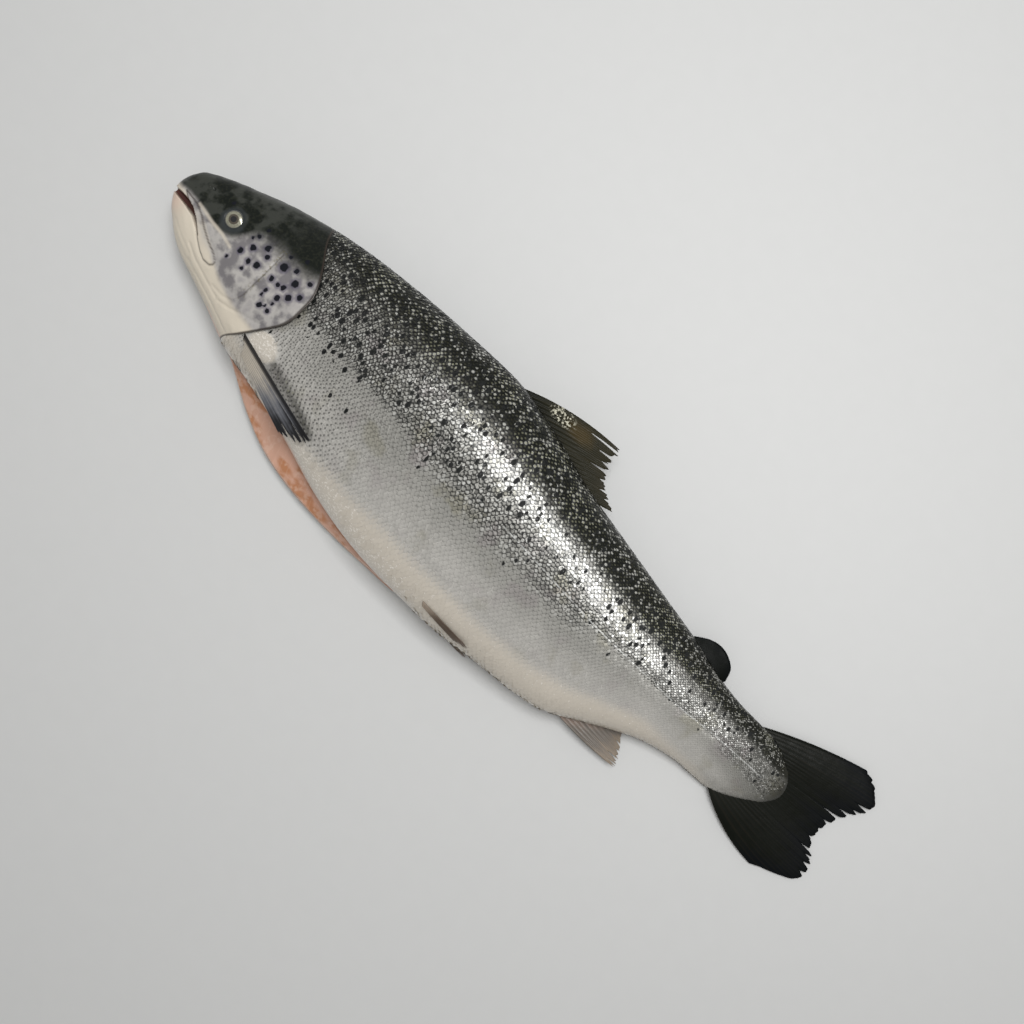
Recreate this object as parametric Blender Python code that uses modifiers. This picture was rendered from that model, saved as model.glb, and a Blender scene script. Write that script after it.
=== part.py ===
"""Whole raw salmon, gutted and lying on its right side on a flat surface.

The scene is in metres, +Z up: the head points to -X, the back to +Y, the belly to -Y and the left flank up.
The sizes below are in millimetres. There x runs from the tip of the snout towards the tail, y from the long
axis of the fish towards its back, and z up from the surface that the fish lies on.
"""

import math
import random
from dataclasses import dataclass

import bmesh
import bpy
import numpy as np
from mathutils import Vector

MM = 0.001

# Where the origin lies, under the middle of the fish's outer box
MIDDLE = (382.45, -11.5)

# The body's outline seen from above
BACK_LINE = (
    (0, 14), (22, 26.5), (54, 40), (86, 51.5), (135, 63.5), (200, 72), (257, 76), (300, 77.5),
    (345, 71.5), (409, 56), (458, 48), (524, 37.5), (553, 33), (600, 23.5), (632, 21), (660, 21), (704, 6),
)  # fmt: skip
BELLY_LINE = (
    (0, -15.5), (12, -24), (26, -35), (38, -41.5), (54, -47), (86, -58), (118, -70), (150, -76),
    (200, -86.5), (257, -102.5), (300, -110), (345, -112.5), (390, -112), (441, -106.5), (491, -101),
    (508, -97), (541, -79.5), (583, -58.5), (617, -50), (638, -48.5), (660, -46), (704, -24),
)  # fmt: skip
CREST_LINE = ((0, -2), (60, 0), (135, -3), (250, -8), (377, -13), (500, -16), (600, -14), (704, -9))
SNOUT_ROUNDING = 12.0
SNOUT_TIP_Y = -3.0
TAIL_END = 704.0
TAIL_ROUNDING = 12.0

# Heights: the middle plane, the half thickness above it, and the lowest point before the surface flattens it
MID_PLANE = ((0, 33), (54, 33), (119, 34.5), (200, 37.5), (290, 39), (377, 37.5), (458, 32), (540, 23),
             (600, 16.5), (640, 12), (690, 5.5), (704, 4.5))  # fmt: skip
HALF_THICKNESS = ((0, 9.5), (22, 17), (54, 25), (86, 31), (119, 36), (150, 39.5), (200, 43), (260, 46),
                  (330, 46), (400, 43), (460, 37), (520, 29.5), (570, 22.5), (610, 17), (640, 13.5),
                  (670, 9.5), (704, 3.5))  # fmt: skip
LOWEST_LINE = ((0, 24), (22, 18.5), (54, 12), (86, 6), (119, 0.5), (150, -3), (250, -5), (400, -5),
               (540, -4), (640, -2.5), (704, 1))  # fmt: skip
KEEL_DROP = 5.0
BACK_FULLNESS = 2.2
BELLY_FULLNESS = 2.1

# The gutting cut along the belly: the lower flap reaches further out than the upper one
FLAP_LINE = ((90, -58.8), (129, -78.5), (162, -96.5), (196, -109.8), (245, -117.8), (290, -119),
             (327, -117.3), (362, -112.3))  # fmt: skip
CUT_START, CUT_OPEN, CUT_CLOSE, CUT_END = 90.0, 128.0, 318.0, 360.0
LEAST_OPENING = 0.06
CUT_DEPTH = 18.0
UPPER_LIP = 3.2
RIM_HEIGHT = 12.0
RIM_WIDTH = 2.5
BED_OUTER, BED_INNER, CEILING_INNER = 13.2, 21.0, 27.5
BED_STEP = 4.0
LIP_OVERHANG = 0.8
FLESH_THICKNESS = 3.0
FLESH_GAP = 0.45
FLESH_FILL = 0.45
FLESH_SHARES = (0.35, 1, 1)
FLESH_START, FLESH_END = 107.0, 346.0
FLESH_TIP = 0.4

# The rear edge of the gill cover, as (y, x), which the body's sections bend to follow
GILL_EDGE = (
    (-80, 103), (-60, 120), (-50, 129.5), (-34, 143.5), (-22, 152.2), (-10, 155.2), (4, 155), (14, 152),
    (26, 144.5), (42, 131), (60, 118.5), (80, 106),
)  # fmt: skip
GILL_STATION = 155.0
GILL_BEND_FROM, GILL_BEND_TO = 58.0, 250.0
GILL_RAISE, GILL_GROOVE, GILL_GROOVE_WIDTH = 1.8, 1.8, 13.0
GILL_RAISE_FROM, GILL_STEP_X = 108.0, 0.8
GILL_FADE_BACK, GILL_FADE_BELLY = (36.0, 50.0), (-64.0, -50.0)

# Mouth, upper jaw plate and eye, seen from the side
MOUTH_UPPER = ((-4, -5.2), (4, -5.4), (12, -5.2), (22, -5.8), (30, -7.9), (38.5, -12.6), (49, -20.6))
MOUTH_LOWER = ((49, -21.4), (41, -16.9), (32, -12.6), (22.5, -11.2), (10, -9.9), (-4, -9.2))
TONGUE, TONGUE_RADII = (32, -16), (18, 6.5, 9)
JAW_PLATE = (
    (16, -1.6), (30, -3.4), (40, -7.4), (48, -12.6), (60, -18.6), (69.5, -21.9), (74.8, -27.2),
    (72, -30.6), (65, -31), (58, -28), (50, -22.8), (38, -14.2), (29, -8.8), (22, -6.2),
)  # fmt: skip
JAW_PLATE_RAISE = 1.3
HEAD_SPAN = (-5, 80)
EYE = (62.2, 8.0)
EYE_RADIUS, EYE_DEPTH, EYE_SUNK = 7.7, 4.5, 3.1
SOCKET_GAP = 0.35


@dataclass(frozen=True)
class Fin:
    """A fin's rays run from the root line, sunk into the body, to the edge line, whose points are
    (share of the way, x, y, z). Bow bends the first and the last ray sideways, and arch lifts the middle of
    the fin. Splits are (place along the edge, depth) of the torn webs, and fray is how unevenly the rays
    end."""

    root: tuple
    edge: tuple
    rays: int
    rows: int
    bow: tuple = (0, 0)
    thickness: float = 2.0
    splits: tuple = ()
    fray: float = 0.06
    arch: float = 0.0


FINS = {
    "dorsal_fin": Fin(
        root=((311, 71, 38.5), (360, 60, 38), (404, 48, 37)),
        edge=((0, 403.5, 96.4, 37), (0.2, 407, 88, 36.5), (0.45, 409.5, 76.5, 36), (0.7, 418, 66.5, 36),
              (1, 434.5, 57, 35)),
        rays=18, rows=7, bow=(7.5, 0), splits=((0.08, 0.3), (0.22, 0.22), (0.45, 0.3), (0.75, 0.16)), fray=0.04,
    ),
    "adipose_fin": Fin(
        root=((550, 29, 21), (594, 16, 17)),
        edge=((0, 556, 35, 20.5), (0.2, 566, 41, 19.5), (0.42, 577, 43.6, 18.5), (0.62, 587, 41.5, 18),
              (0.82, 596, 35.5, 17), (1, 600, 25.5, 16)),
        rays=9, rows=3, thickness=3.6, fray=0,
    ),
    "anal_fin": Fin(
        root=((508, -90, 19), (571, -57, 13)),
        edge=((0, 588, -90, 9), (0.3, 586, -84, 8.5), (0.6, 580, -75, 8), (1, 571, -67, 8)),
        rays=12, rows=5, bow=(-2.5, 0), splits=((0.3, 0.2), (0.65, 0.25)),
    ),
    "pelvic_fin_left": Fin(
        root=((367, -98, 33), (370, -104, 19)),
        edge=((0, 428, -108.5, 33), (0.5, 427, -112.5, 26), (1, 415, -113.5, 19)),
        rays=7, rows=4, splits=((0.5, 0.25),),
    ),
    "pelvic_fin_right": Fin(
        root=((369, -99, 14), (369, -103, 5)),
        edge=((0, 436, -117, 13), (0.5, 433, -118.5, 8.5), (1, 420, -118, 4)),
        rays=7, rows=4, splits=((0.5, 0.25),),
    ),
    "pectoral_fin_left": Fin(
        root=((132, -49, 58), (139, -63, 49)),
        edge=((0, 225, -73, 71), (0.3, 222, -77.5, 69), (0.65, 214, -82, 66), (1, 202, -84.5, 62)),
        rays=10, rows=6, thickness=2.2, splits=((0.35, 0.18), (0.7, 0.16)), arch=4,
    ),
    "pectoral_fin_right": Fin(
        root=((134, -50, 12), (138, -62, 12)),
        edge=((0, 207, -78, 1.4), (0.3, 206, -84, 1.3), (0.65, 200, -89, 1.2), (1, 189, -91, 1.2)),
        rays=10, rows=6, thickness=2.2,
    ),
    "tail_fin": Fin(
        root=((641, 16, 9), (646, -12, 9), (652, -46, 9)),
        edge=((0, 731, 59, 3.4), (0.05, 748, 56, 3.4), (0.1, 761, 48, 3.4), (0.15, 766.5, 38, 3.3),
              (0.3, 757.5, 20, 3), (0.46, 749.5, 2, 2.8), (0.55, 748, -10, 2.8), (0.68, 754, -22.5, 2.8),
              (0.8, 763, -31.5, 2.8), (0.88, 765.5, -43, 2.8), (0.94, 757, -53.5, 2.8), (1, 726, -67.5, 2.8)),
        rays=30, rows=6, bow=(4.5, -5), thickness=2.4, fray=0.02,
        splits=((0.18, 0.12), (0.31, 0.16), (0.38, 0.22), (0.76, 0.18), (0.87, 0.1)),
    ),
}  # fmt: skip
FIN_SEED = 7

# How finely the solids are cut
QUARTER_STEPS = 10
HEAD_STEP, BODY_STEP = 5.5, 17.0
JAW_PLATE_STATIONS = 100.0

SKIN_COLOUR = (0.36, 0.37, 0.36)
FIN_COLOUR = (0.045, 0.048, 0.04)
FLESH_COLOUR = (0.78, 0.36, 0.24)
EYE_COLOUR = (0.42, 0.40, 0.30)


def smooth(line, x):
    """Height at x of the smooth curve through the points of a line, with no overshoot between them."""
    px, py = np.array(line, float).T
    step, rise = np.diff(px), np.diff(py)
    slope = rise / step
    tangent = np.concatenate([slope[:1], (slope[:-1] + slope[1:]) / 2, slope[-1:]])
    turns = np.concatenate([[False], slope[:-1] * slope[1:] <= 0, [False]])
    tangent[turns] = 0
    for i, s in enumerate(slope):
        limit = 3 * abs(s)
        tangent[i : i + 2] = np.clip(tangent[i : i + 2], -limit, limit)
    x = np.clip(x, px[0], px[-1])
    i = np.clip(np.searchsorted(px, x) - 1, 0, len(step) - 1)
    t = (x - px[i]) / step[i]
    return (
        py[i] * (1 + 2 * t) * (1 - t) ** 2
        + py[i + 1] * t**2 * (3 - 2 * t)
        + step[i] * (tangent[i] * t * (1 - t) ** 2 - tangent[i + 1] * t**2 * (1 - t))
    )


def ramp(low, high, x):
    """0 below low, 1 above high and an S-shaped rise between them."""
    t = np.clip((x - low) / (high - low), 0, 1)
    return t * t * (3 - 2 * t)


def opening(x):
    """How far the belly cut is open at x, from 0 to 1."""
    share = ramp(CUT_START, CUT_OPEN, x) * (1 - ramp(CUT_CLOSE, CUT_END, x))
    return np.where(share < LEAST_OPENING, 0, share)


def cut_path(x, open_share):
    """Points of the belly cut at x, from the lower flap's rim inwards and out to the upper flap's edge."""
    mid, belly = smooth(MID_PLANE, x), smooth(BELLY_LINE, x)
    keel = mid - KEEL_DROP
    flap = np.where(open_share > 0, np.minimum(smooth(FLAP_LINE, x), belly), belly)

    def between(y, z):
        return belly + (y - belly) * open_share, keel + (z - keel) * open_share

    return (
        (flap, keel + (RIM_HEIGHT - keel) * open_share),
        between(flap + RIM_WIDTH, BED_OUTER),
        between(np.maximum((flap + belly) / 2, flap + RIM_WIDTH + BED_STEP), (BED_OUTER + BED_INNER) / 2 - 1),
        between(belly + CUT_DEPTH, BED_INNER),
        between(belly + CUT_DEPTH, CEILING_INNER),
        between(belly + LIP_OVERHANG, keel - UPPER_LIP),
        (belly, keel),
    )


def section(x, steps, open_share):
    """Points (y, z) of the body's sections: row i, column k is ring point k at x[i, k]. The ring starts at
    the upper flap's edge, goes over the left flank, the back and the right flank, and ends in the cut."""
    angle = np.linspace(0, math.pi / 2, steps + 1)
    back_c, back_s = (f(angle) ** (2 / BACK_FULLNESS) for f in (np.cos, np.sin))
    belly_c, belly_s = (f(angle) ** (2 / BELLY_FULLNESS) for f in (np.cos, np.sin))
    back_c[-1] = belly_c[-1] = 0
    columns, ys, zs = iter(range(x.shape[1])), [], []

    def at_next():
        return x[:, next(columns)]

    for side in (1, -1):
        belly_part = [("belly", c, s) for c, s in zip(belly_c, belly_s)]
        back_part = [("back", c, s) for c, s in zip(back_c, back_s)][::-1][1:]
        parts = belly_part + back_part if side == 1 else (belly_part + back_part)[::-1][1:]
        for where, c, s in parts:
            at = at_next()
            mid, crest = smooth(MID_PLANE, at), smooth(CREST_LINE, at)
            extreme = mid + smooth(HALF_THICKNESS, at) if side == 1 else smooth(LOWEST_LINE, at)
            path = cut_path(at, open_share)
            if where == "back":
                edge_y, edge_z = smooth(BACK_LINE, at), mid
            else:
                edge_y, edge_z = path[-1] if side == 1 else path[0]
            ys.append(crest + (edge_y - crest) * c)
            zs.append(edge_z + (extreme - edge_z) * s)
    for i in range(1, 6):
        y, z = cut_path(at_next(), open_share)[i]
        ys.append(y)
        zs.append(z)
    return np.stack(ys, 1), np.stack(zs, 1)


def bend_share(station):
    """How much a section at this station bends to follow the gill cover's edge."""
    return ramp(GILL_BEND_FROM, GILL_STATION, station) * (1 - ramp(GILL_STATION, GILL_BEND_TO, station))


def gill_relief(station, y):
    """How far the skin stands out at the gill cover and sinks in the groove behind it."""
    rise = GILL_RAISE * ramp(GILL_RAISE_FROM, GILL_STATION, station)
    behind = (station - GILL_STATION) / GILL_GROOVE_WIDTH
    sink = -GILL_GROOVE * (1 - ramp(0, 1, behind))
    fade = ramp(*GILL_FADE_BELLY, y) * (1 - ramp(*GILL_FADE_BACK, y))
    return np.where(station <= GILL_STATION, rise, sink) * fade


def bent(station, steps, open_share):
    """The x of each ring point, where the sections bend to follow the gill cover's edge."""
    x = station
    for _ in range(5):
        y, _ = section(x, steps, open_share)
        x = station + bend_share(station) * (smooth(GILL_EDGE, y) - GILL_STATION)
    return x


def body_points(stations, steps, outwards=0.0):
    """Points of the whole body, one row for each station. Outwards thickens it all round by that much."""
    station = np.repeat(np.array(stations, float)[:, None], 4 * steps + 6, 1)
    shut = np.zeros(len(station))
    open_share = opening(bent(station, steps, shut)[:, 0])
    x = bent(station, steps, open_share)
    y, z = section(x, steps, open_share)
    crest, mid = smooth(CREST_LINE, x), smooth(MID_PLANE, x)
    reach = np.maximum(np.hypot(y - crest, z - mid), 1.0)
    grow = 1 + (gill_relief(station, y) + outwards) / reach
    grow[:, -5:] = grow[:, :1]
    y, z = crest + (y - crest) * grow, mid + (z - mid) * grow
    nose = np.sqrt(1 - (1 - np.clip(x / SNOUT_ROUNDING, 0, 1)) ** 2)
    end = np.sqrt(1 - np.clip((x - TAIL_END + TAIL_ROUNDING) / TAIL_ROUNDING, 0, 1) ** 2)
    y = SNOUT_TIP_Y + (y - SNOUT_TIP_Y) * nose
    y = crest + (y - crest) * end
    z = mid + (z - mid) * nose * end
    return np.stack([x, y, np.maximum(z, 0)], 2)


def to_scene(point):
    """A point in millimetres from the snout as a place in the scene."""
    return Vector(((point[0] - MIDDLE[0]) * MM, (point[1] - MIDDLE[1]) * MM, point[2] * MM))


def body_stations():
    """Where the sections lie: close together at the snout, even over the head, and wider apart behind it."""
    snout = [0, 0.7, 2.2, 4.5, 8]
    head = list(np.linspace(12, GILL_STATION, round((GILL_STATION - 12) / HEAD_STEP)))
    behind = [GILL_STATION + GILL_STEP_X, GILL_STATION + 5, GILL_STATION + GILL_GROOVE_WIDTH]
    count = round((TAIL_END - TAIL_ROUNDING - behind[-1]) / BODY_STEP)
    body = list(np.linspace(behind[-1], TAIL_END - TAIL_ROUNDING, count + 1))[1:]
    return snout + head + behind + body + [TAIL_END - 6, TAIL_END - 2, TAIL_END]


def mesh_from_grid(name, points):
    """A closed skin over rows of points, each row a ring. Points that coincide become one."""
    mesh = bpy.data.meshes.new(name)
    grid = bmesh.new()
    verts = [[grid.verts.new(to_scene(p)) for p in row] for row in points]
    for near, far in zip(verts, verts[1:]):
        for k in range(len(near)):
            j = (k + 1) % len(near)
            grid.faces.new((near[k], near[j], far[j]))
            grid.faces.new((near[k], far[j], far[k]))
    bmesh.ops.remove_doubles(grid, verts=grid.verts, dist=0.00002)
    bmesh.ops.recalc_face_normals(grid, faces=grid.faces)
    grid.to_mesh(mesh)
    grid.free()
    return mesh


def material(name, colour, roughness):
    """A plain moist surface in one colour."""
    made = bpy.data.materials.new(name)
    made.use_nodes = True
    shader = made.node_tree.nodes["Principled BSDF"]
    shader.inputs["Base Color"].default_value = (*colour, 1)
    shader.inputs["Roughness"].default_value = roughness
    shader.inputs["Metallic"].default_value = 0
    return made


def add_object(name, mesh, collection, finish=None):
    """An object of this mesh in a collection."""
    made = bpy.data.objects.new(name, mesh)
    collection.objects.link(made)
    if finish:
        mesh.materials.append(finish)
    return made


def helper_collection(name):
    """A collection for shapes that only join or cut others."""
    made = bpy.data.collections.new(name)
    bpy.context.scene.collection.children.link(made)
    made.hide_render = True
    return made


def as_helper(obj):
    """Marks an object as a guide that isn't part of the fish."""
    obj.hide_render = True
    obj.display_type = "WIRE"


def prism(name, outline, low, high, collection):
    """An upright prism of this outline, from height low to height high."""
    curve = bpy.data.curves.new(name, "CURVE")
    curve.dimensions = "2D"
    curve.fill_mode = "BOTH"
    curve.extrude = (high - low) / 2 * MM
    line = curve.splines.new("POLY")
    line.points.add(len(outline) - 1)
    for point, (x, y) in zip(line.points, outline):
        point.co = (*to_scene((x, y, 0)).xy, 0, 1)
    line.use_cyclic_u = True
    guide = bpy.data.objects.new(name, curve)
    guide.location.z = (high + low) / 2 * MM
    collection.objects.link(guide)
    bpy.context.view_layer.update()
    seen = guide.evaluated_get(bpy.context.evaluated_depsgraph_get())
    mesh = bpy.data.meshes.new_from_object(seen)
    made = add_object(name + "_solid", mesh, collection)
    made.matrix_world = guide.matrix_world
    bpy.data.objects.remove(guide)
    weld = bmesh.new()
    weld.from_mesh(mesh)
    bmesh.ops.remove_doubles(weld, verts=weld.verts, dist=0.00001)
    bmesh.ops.recalc_face_normals(weld, faces=weld.faces)
    weld.to_mesh(mesh)
    weld.free()
    as_helper(made)
    return made


def ellipsoid(name, centre, radii, collection):
    """A ball stretched to these three radii."""
    mesh = bpy.data.meshes.new(name)
    ball = bmesh.new()
    bmesh.ops.create_uvsphere(ball, u_segments=22, v_segments=12, radius=MM)
    bmesh.ops.scale(ball, vec=radii, verts=ball.verts)
    bmesh.ops.translate(ball, vec=to_scene(centre), verts=ball.verts)
    ball.to_mesh(mesh)
    ball.free()
    return add_object(name, mesh, collection)


def boolean(obj, operation, others):
    """Joins or cuts obj with another object or a whole collection."""
    modifier = obj.modifiers.new(operation.title(), "BOOLEAN")
    modifier.operation = operation
    modifier.solver = "EXACT"
    if isinstance(others, bpy.types.Collection):
        modifier.operand_type = "COLLECTION"
        modifier.collection = others
    else:
        modifier.object = others
    return modifier


def apply_modifiers(obj):
    """Makes what the modifiers show the object's own mesh."""
    bpy.context.view_layer.update()
    seen = obj.evaluated_get(bpy.context.evaluated_depsgraph_get())
    mesh = bpy.data.meshes.new_from_object(seen)
    obj.modifiers.clear()
    obj.data = mesh


def fin_columns(fin):
    """The points of each ray of a fin, from the root outwards."""
    dice = random.Random(FIN_SEED + fin.rays)
    root, edge = np.array(fin.root, float), np.array(fin.edge, float)
    columns = []
    for t in np.linspace(0, 1, fin.rays):
        start = np.array([np.interp(t, np.linspace(0, 1, len(root)), root[:, k]) for k in range(3)])
        tip = np.array([float(smooth(edge[:, (0, k + 1)], t)) for k in range(3)])
        reach = (tip - start) * (1 - fin.fray * dice.random())
        across = np.cross((0, 0, 1), reach)
        across /= np.linalg.norm(across)
        bow = fin.bow[0] * (1 - t) ** 3 + fin.bow[1] * t**3
        steps = np.linspace(0, 1, fin.rows)
        sideways = across * bow + np.array((0, 0, fin.arch))
        columns.append([start + reach * r + sideways * 4 * r * (1 - r) for r in steps])
    return columns


def add_fin(name, fin, collection):
    """A fin as a thin fan with torn webs."""
    mesh = bpy.data.meshes.new(name)
    web = bmesh.new()
    verts = [[web.verts.new(to_scene(p)) for p in column] for column in fin_columns(fin)]
    torn = {min(fin.rays - 2, round(place * (fin.rays - 1))): depth for place, depth in fin.splits}
    for i, (near, far) in enumerate(zip(verts, verts[1:])):
        whole = max(1, round((fin.rows - 1) * (1 - torn.get(i, 0))))
        for r in range(whole):
            web.faces.new((near[r], far[r], far[r + 1], near[r + 1]))
    web.to_mesh(mesh)
    web.free()
    made = add_object(name, mesh, collection, bpy.data.materials["fin"])
    solid = made.modifiers.new("Solidify", "SOLIDIFY")
    solid.thickness = fin.thickness * MM
    solid.offset = 0
    solid.use_even_offset = True
    as_helper(made)


def eye_height(side):
    """Height of the middle of the left (1) or right (-1) eyeball."""
    x, _ = EYE
    skin = smooth(MID_PLANE, x) + smooth(HALF_THICKNESS, x) if side == 1 else smooth(LOWEST_LINE, x)
    return float(skin) - side * EYE_SUNK


def salmon(fish, finish):
    """The body with its head and fins, in one piece."""
    stations = body_stations()
    body = add_object("salmon", mesh_from_grid("salmon", body_points(stations, QUARTER_STEPS)), fish, finish)
    joined = helper_collection("joined_shapes")
    cutters = helper_collection("cutters")
    for name, shape in FINS.items():
        add_fin(name, shape, joined)
    head_stations = [s for s in stations if s < JAW_PLATE_STATIONS]
    grown = body_points(head_stations, QUARTER_STEPS, JAW_PLATE_RAISE)
    cap = np.repeat(grown[-1:].mean(1, keepdims=True), grown.shape[1], 1)
    thick_head = mesh_from_grid("jaw_plates", np.concatenate([grown, cap]))
    jaw_plates = add_object("jaw_plates", thick_head, joined)
    as_helper(jaw_plates)
    boolean(jaw_plates, "INTERSECT", prism("jaw_outline", JAW_PLATE, *HEAD_SPAN, cutters))
    boolean(body, "UNION", joined)
    apply_modifiers(body)
    boolean(body, "DIFFERENCE", prism("mouth", MOUTH_UPPER + MOUTH_LOWER, *HEAD_SPAN, cutters))
    tongue = ellipsoid("tongue", (*TONGUE, float(smooth(MID_PLANE, TONGUE[0]))), TONGUE_RADII, cutters)
    as_helper(tongue)
    boolean(body, "UNION", tongue)
    for side, name in ((1, "socket_left"), (-1, "socket_right")):
        place = (*EYE, eye_height(side))
        size = (EYE_RADIUS + SOCKET_GAP, EYE_RADIUS + SOCKET_GAP, EYE_DEPTH + SOCKET_GAP)
        socket = ellipsoid(name, place, size, cutters)
        as_helper(socket)
        boolean(body, "DIFFERENCE", socket)
    apply_modifiers(body)
    for group in (joined, cutters):
        for helper in list(group.objects):
            bpy.data.objects.remove(helper)
        bpy.data.collections.remove(group)
    body.data.shade_smooth()
    body.data.set_sharp_from_angle(angle=math.radians(35))
    return body


def belly_flesh(fish, finish):
    """The pink wall of the belly, which lies on the lower flap and runs into the cut."""
    rows = []
    for row in body_points(body_stations(), QUARTER_STEPS):
        if not FLESH_START < row[0, 0] < FLESH_END:
            continue
        outer, middle, inner, ceiling = row[-5:-1]
        room = min(FLESH_THICKNESS, FLESH_FILL * (ceiling[2] - inner[2]))
        shifts = ((0, 0, FLESH_GAP), (0, 0, FLESH_GAP), (0, -FLESH_GAP, FLESH_GAP))
        low = [point + shift for point, shift in zip((outer, middle, inner), shifts)]
        high = [point + (0, 0, room * share) for point, share in zip(low, FLESH_SHARES)]
        rows.append(low + high[::-1])
    tips = ((0, -FLESH_TIP), (-1, FLESH_TIP))
    first, last = (np.repeat((np.mean(rows[i], 0) + (tip, 0, 0))[None], 6, 0) for i, tip in tips)
    points = np.concatenate([first[None], np.array(rows), last[None]])
    return add_object("belly_flesh", mesh_from_grid("belly_flesh", points), fish, finish)


def eyes(fish, finish):
    """Both eyeballs, each loose in its socket."""
    for side, name in ((1, "eye_left"), (-1, "eye_right")):
        ball = ellipsoid(name, (*EYE, eye_height(side)), (EYE_RADIUS, EYE_RADIUS, EYE_DEPTH), fish)
        ball.data.materials.append(finish)
        ball.data.shade_smooth()


def main():
    """Clears the scene and builds the fish."""
    for old in list(bpy.data.objects):
        bpy.data.objects.remove(old)
    fish = bpy.data.collections.new("whole_salmon")
    bpy.context.scene.collection.children.link(fish)
    skin = material("skin", SKIN_COLOUR, 0.3)
    material("fin", FIN_COLOUR, 0.45)
    salmon(fish, skin)
    belly_flesh(fish, material("flesh", FLESH_COLOUR, 0.4))
    eyes(fish, material("eye", EYE_COLOUR, 0.15))


main()
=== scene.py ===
"""A whole gutted salmon, lying on its right flank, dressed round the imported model.

Sizes are in millimetres in the fish's own frame: x runs from the tip of the snout to the tail, y from the
long axis towards the back and z up from the surface that the fish lies on. A station is a place along the
fish before its sections bend to follow the gill cover.
"""

import logging
import math
from dataclasses import dataclass, field
from enum import Enum
from typing import ClassVar

import bmesh
import bpy
import numpy as np
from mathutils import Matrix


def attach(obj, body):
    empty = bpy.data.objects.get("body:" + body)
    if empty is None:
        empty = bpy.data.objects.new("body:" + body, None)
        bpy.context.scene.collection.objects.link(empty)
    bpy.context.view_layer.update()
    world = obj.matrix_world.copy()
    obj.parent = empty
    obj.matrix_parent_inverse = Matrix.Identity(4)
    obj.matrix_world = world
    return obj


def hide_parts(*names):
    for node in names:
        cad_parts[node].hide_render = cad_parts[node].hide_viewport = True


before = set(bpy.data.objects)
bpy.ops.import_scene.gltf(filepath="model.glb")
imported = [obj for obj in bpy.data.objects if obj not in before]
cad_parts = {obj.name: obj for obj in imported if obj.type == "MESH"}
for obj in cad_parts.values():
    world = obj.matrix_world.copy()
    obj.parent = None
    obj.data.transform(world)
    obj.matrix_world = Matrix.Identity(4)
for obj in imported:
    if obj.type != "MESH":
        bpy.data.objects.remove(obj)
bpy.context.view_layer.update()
LOG = logging.getLogger("salmon")

Colour = tuple[float, float, float]
Points = tuple[tuple[float, ...], ...]

MM = 0.001
MIDDLE = (382.45, -11.5)
MERGE_DISTANCE = 0.00001


class Side(Enum):
    """The two flanks of the fish; it lies on the right one."""

    LEFT = 1
    RIGHT = -1


def to_metres(points: np.ndarray) -> np.ndarray:
    """Moves points from millimetres in the fish's frame to metres in the model's frame.

    Args:
        points: Array whose last axis is (x, y, z).

    Returns:
        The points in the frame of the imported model.
    """
    moved = np.array(points, float)
    moved[..., 0] -= MIDDLE[0]
    moved[..., 1] -= MIDDLE[1]
    return moved * MM


def ramp(low: float, high: float, x: np.ndarray) -> np.ndarray:
    """An S-shaped rise of x from 0 at low to 1 at high."""
    t = np.clip((x - low) / (high - low), 0, 1)
    return t * t * (3 - 2 * t)


@dataclass(frozen=True)
class Line:
    """A smooth line through a few points, with no overshoot between them."""

    points: Points

    def at(self, x: np.ndarray) -> np.ndarray:
        """Height of the line.

        Args:
            x: Places along the line; beyond its ends it stays level.

        Returns:
            The height at each place.
        """
        px, py = np.array(self.points, float).T
        step = np.diff(px)
        slope = np.diff(py) / step
        tangent = np.concatenate([slope[:1], (slope[:-1] + slope[1:]) / 2, slope[-1:]])
        tangent[1:-1][slope[:-1] * slope[1:] <= 0] = 0
        for i, s in enumerate(slope):
            limit = 3 * abs(s)
            tangent[i : i + 2] = np.clip(tangent[i : i + 2], -limit, limit)
        x = np.clip(x, px[0], px[-1])
        i = np.clip(np.searchsorted(px, x) - 1, 0, len(step) - 1)
        t = (x - px[i]) / step[i]
        ends = py[i] * (1 + 2 * t) * (1 - t) ** 2 + py[i + 1] * t**2 * (3 - 2 * t)
        return ends + step[i] * (tangent[i] * t * (1 - t) ** 2 - tangent[i + 1] * t**2 * (1 - t))


def path_distance(x: np.ndarray, y: np.ndarray, path: Points) -> np.ndarray:
    """Distance from places to a path of straight stretches.

    Args:
        x: Places along the fish.
        y: Places across it.
        path: Corners of the path.

    Returns:
        The distance of each place from the nearest stretch.
    """
    least = np.full(np.shape(x), np.inf)
    for (ax, ay), (bx, by) in zip(path, path[1:]):
        dx, dy = bx - ax, by - ay
        share = np.clip(((x - ax) * dx + (y - ay) * dy) / (dx * dx + dy * dy), 0, 1)
        least = np.minimum(least, np.hypot(x - ax - share * dx, y - ay - share * dy))
    return least


def depth_inside(x: np.ndarray, y: np.ndarray, outline: Points) -> np.ndarray:
    """How deep places lie inside a closed outline.

    Args:
        x: Places along the fish.
        y: Places across it.
        outline: Corners of the outline.

    Returns:
        Distance to the outline's edge, negative outside it.
    """
    closed = (*outline, outline[0])
    inside = np.zeros(np.shape(x), bool)
    for (ax, ay), (bx, by) in zip(closed, closed[1:]):
        if ay != by:
            inside ^= ((ay > y) != (by > y)) & (x < (bx - ax) * (y - ay) / (by - ay) + ax)
    edge = path_distance(x, y, closed)
    return np.where(inside, edge, -edge)


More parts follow.
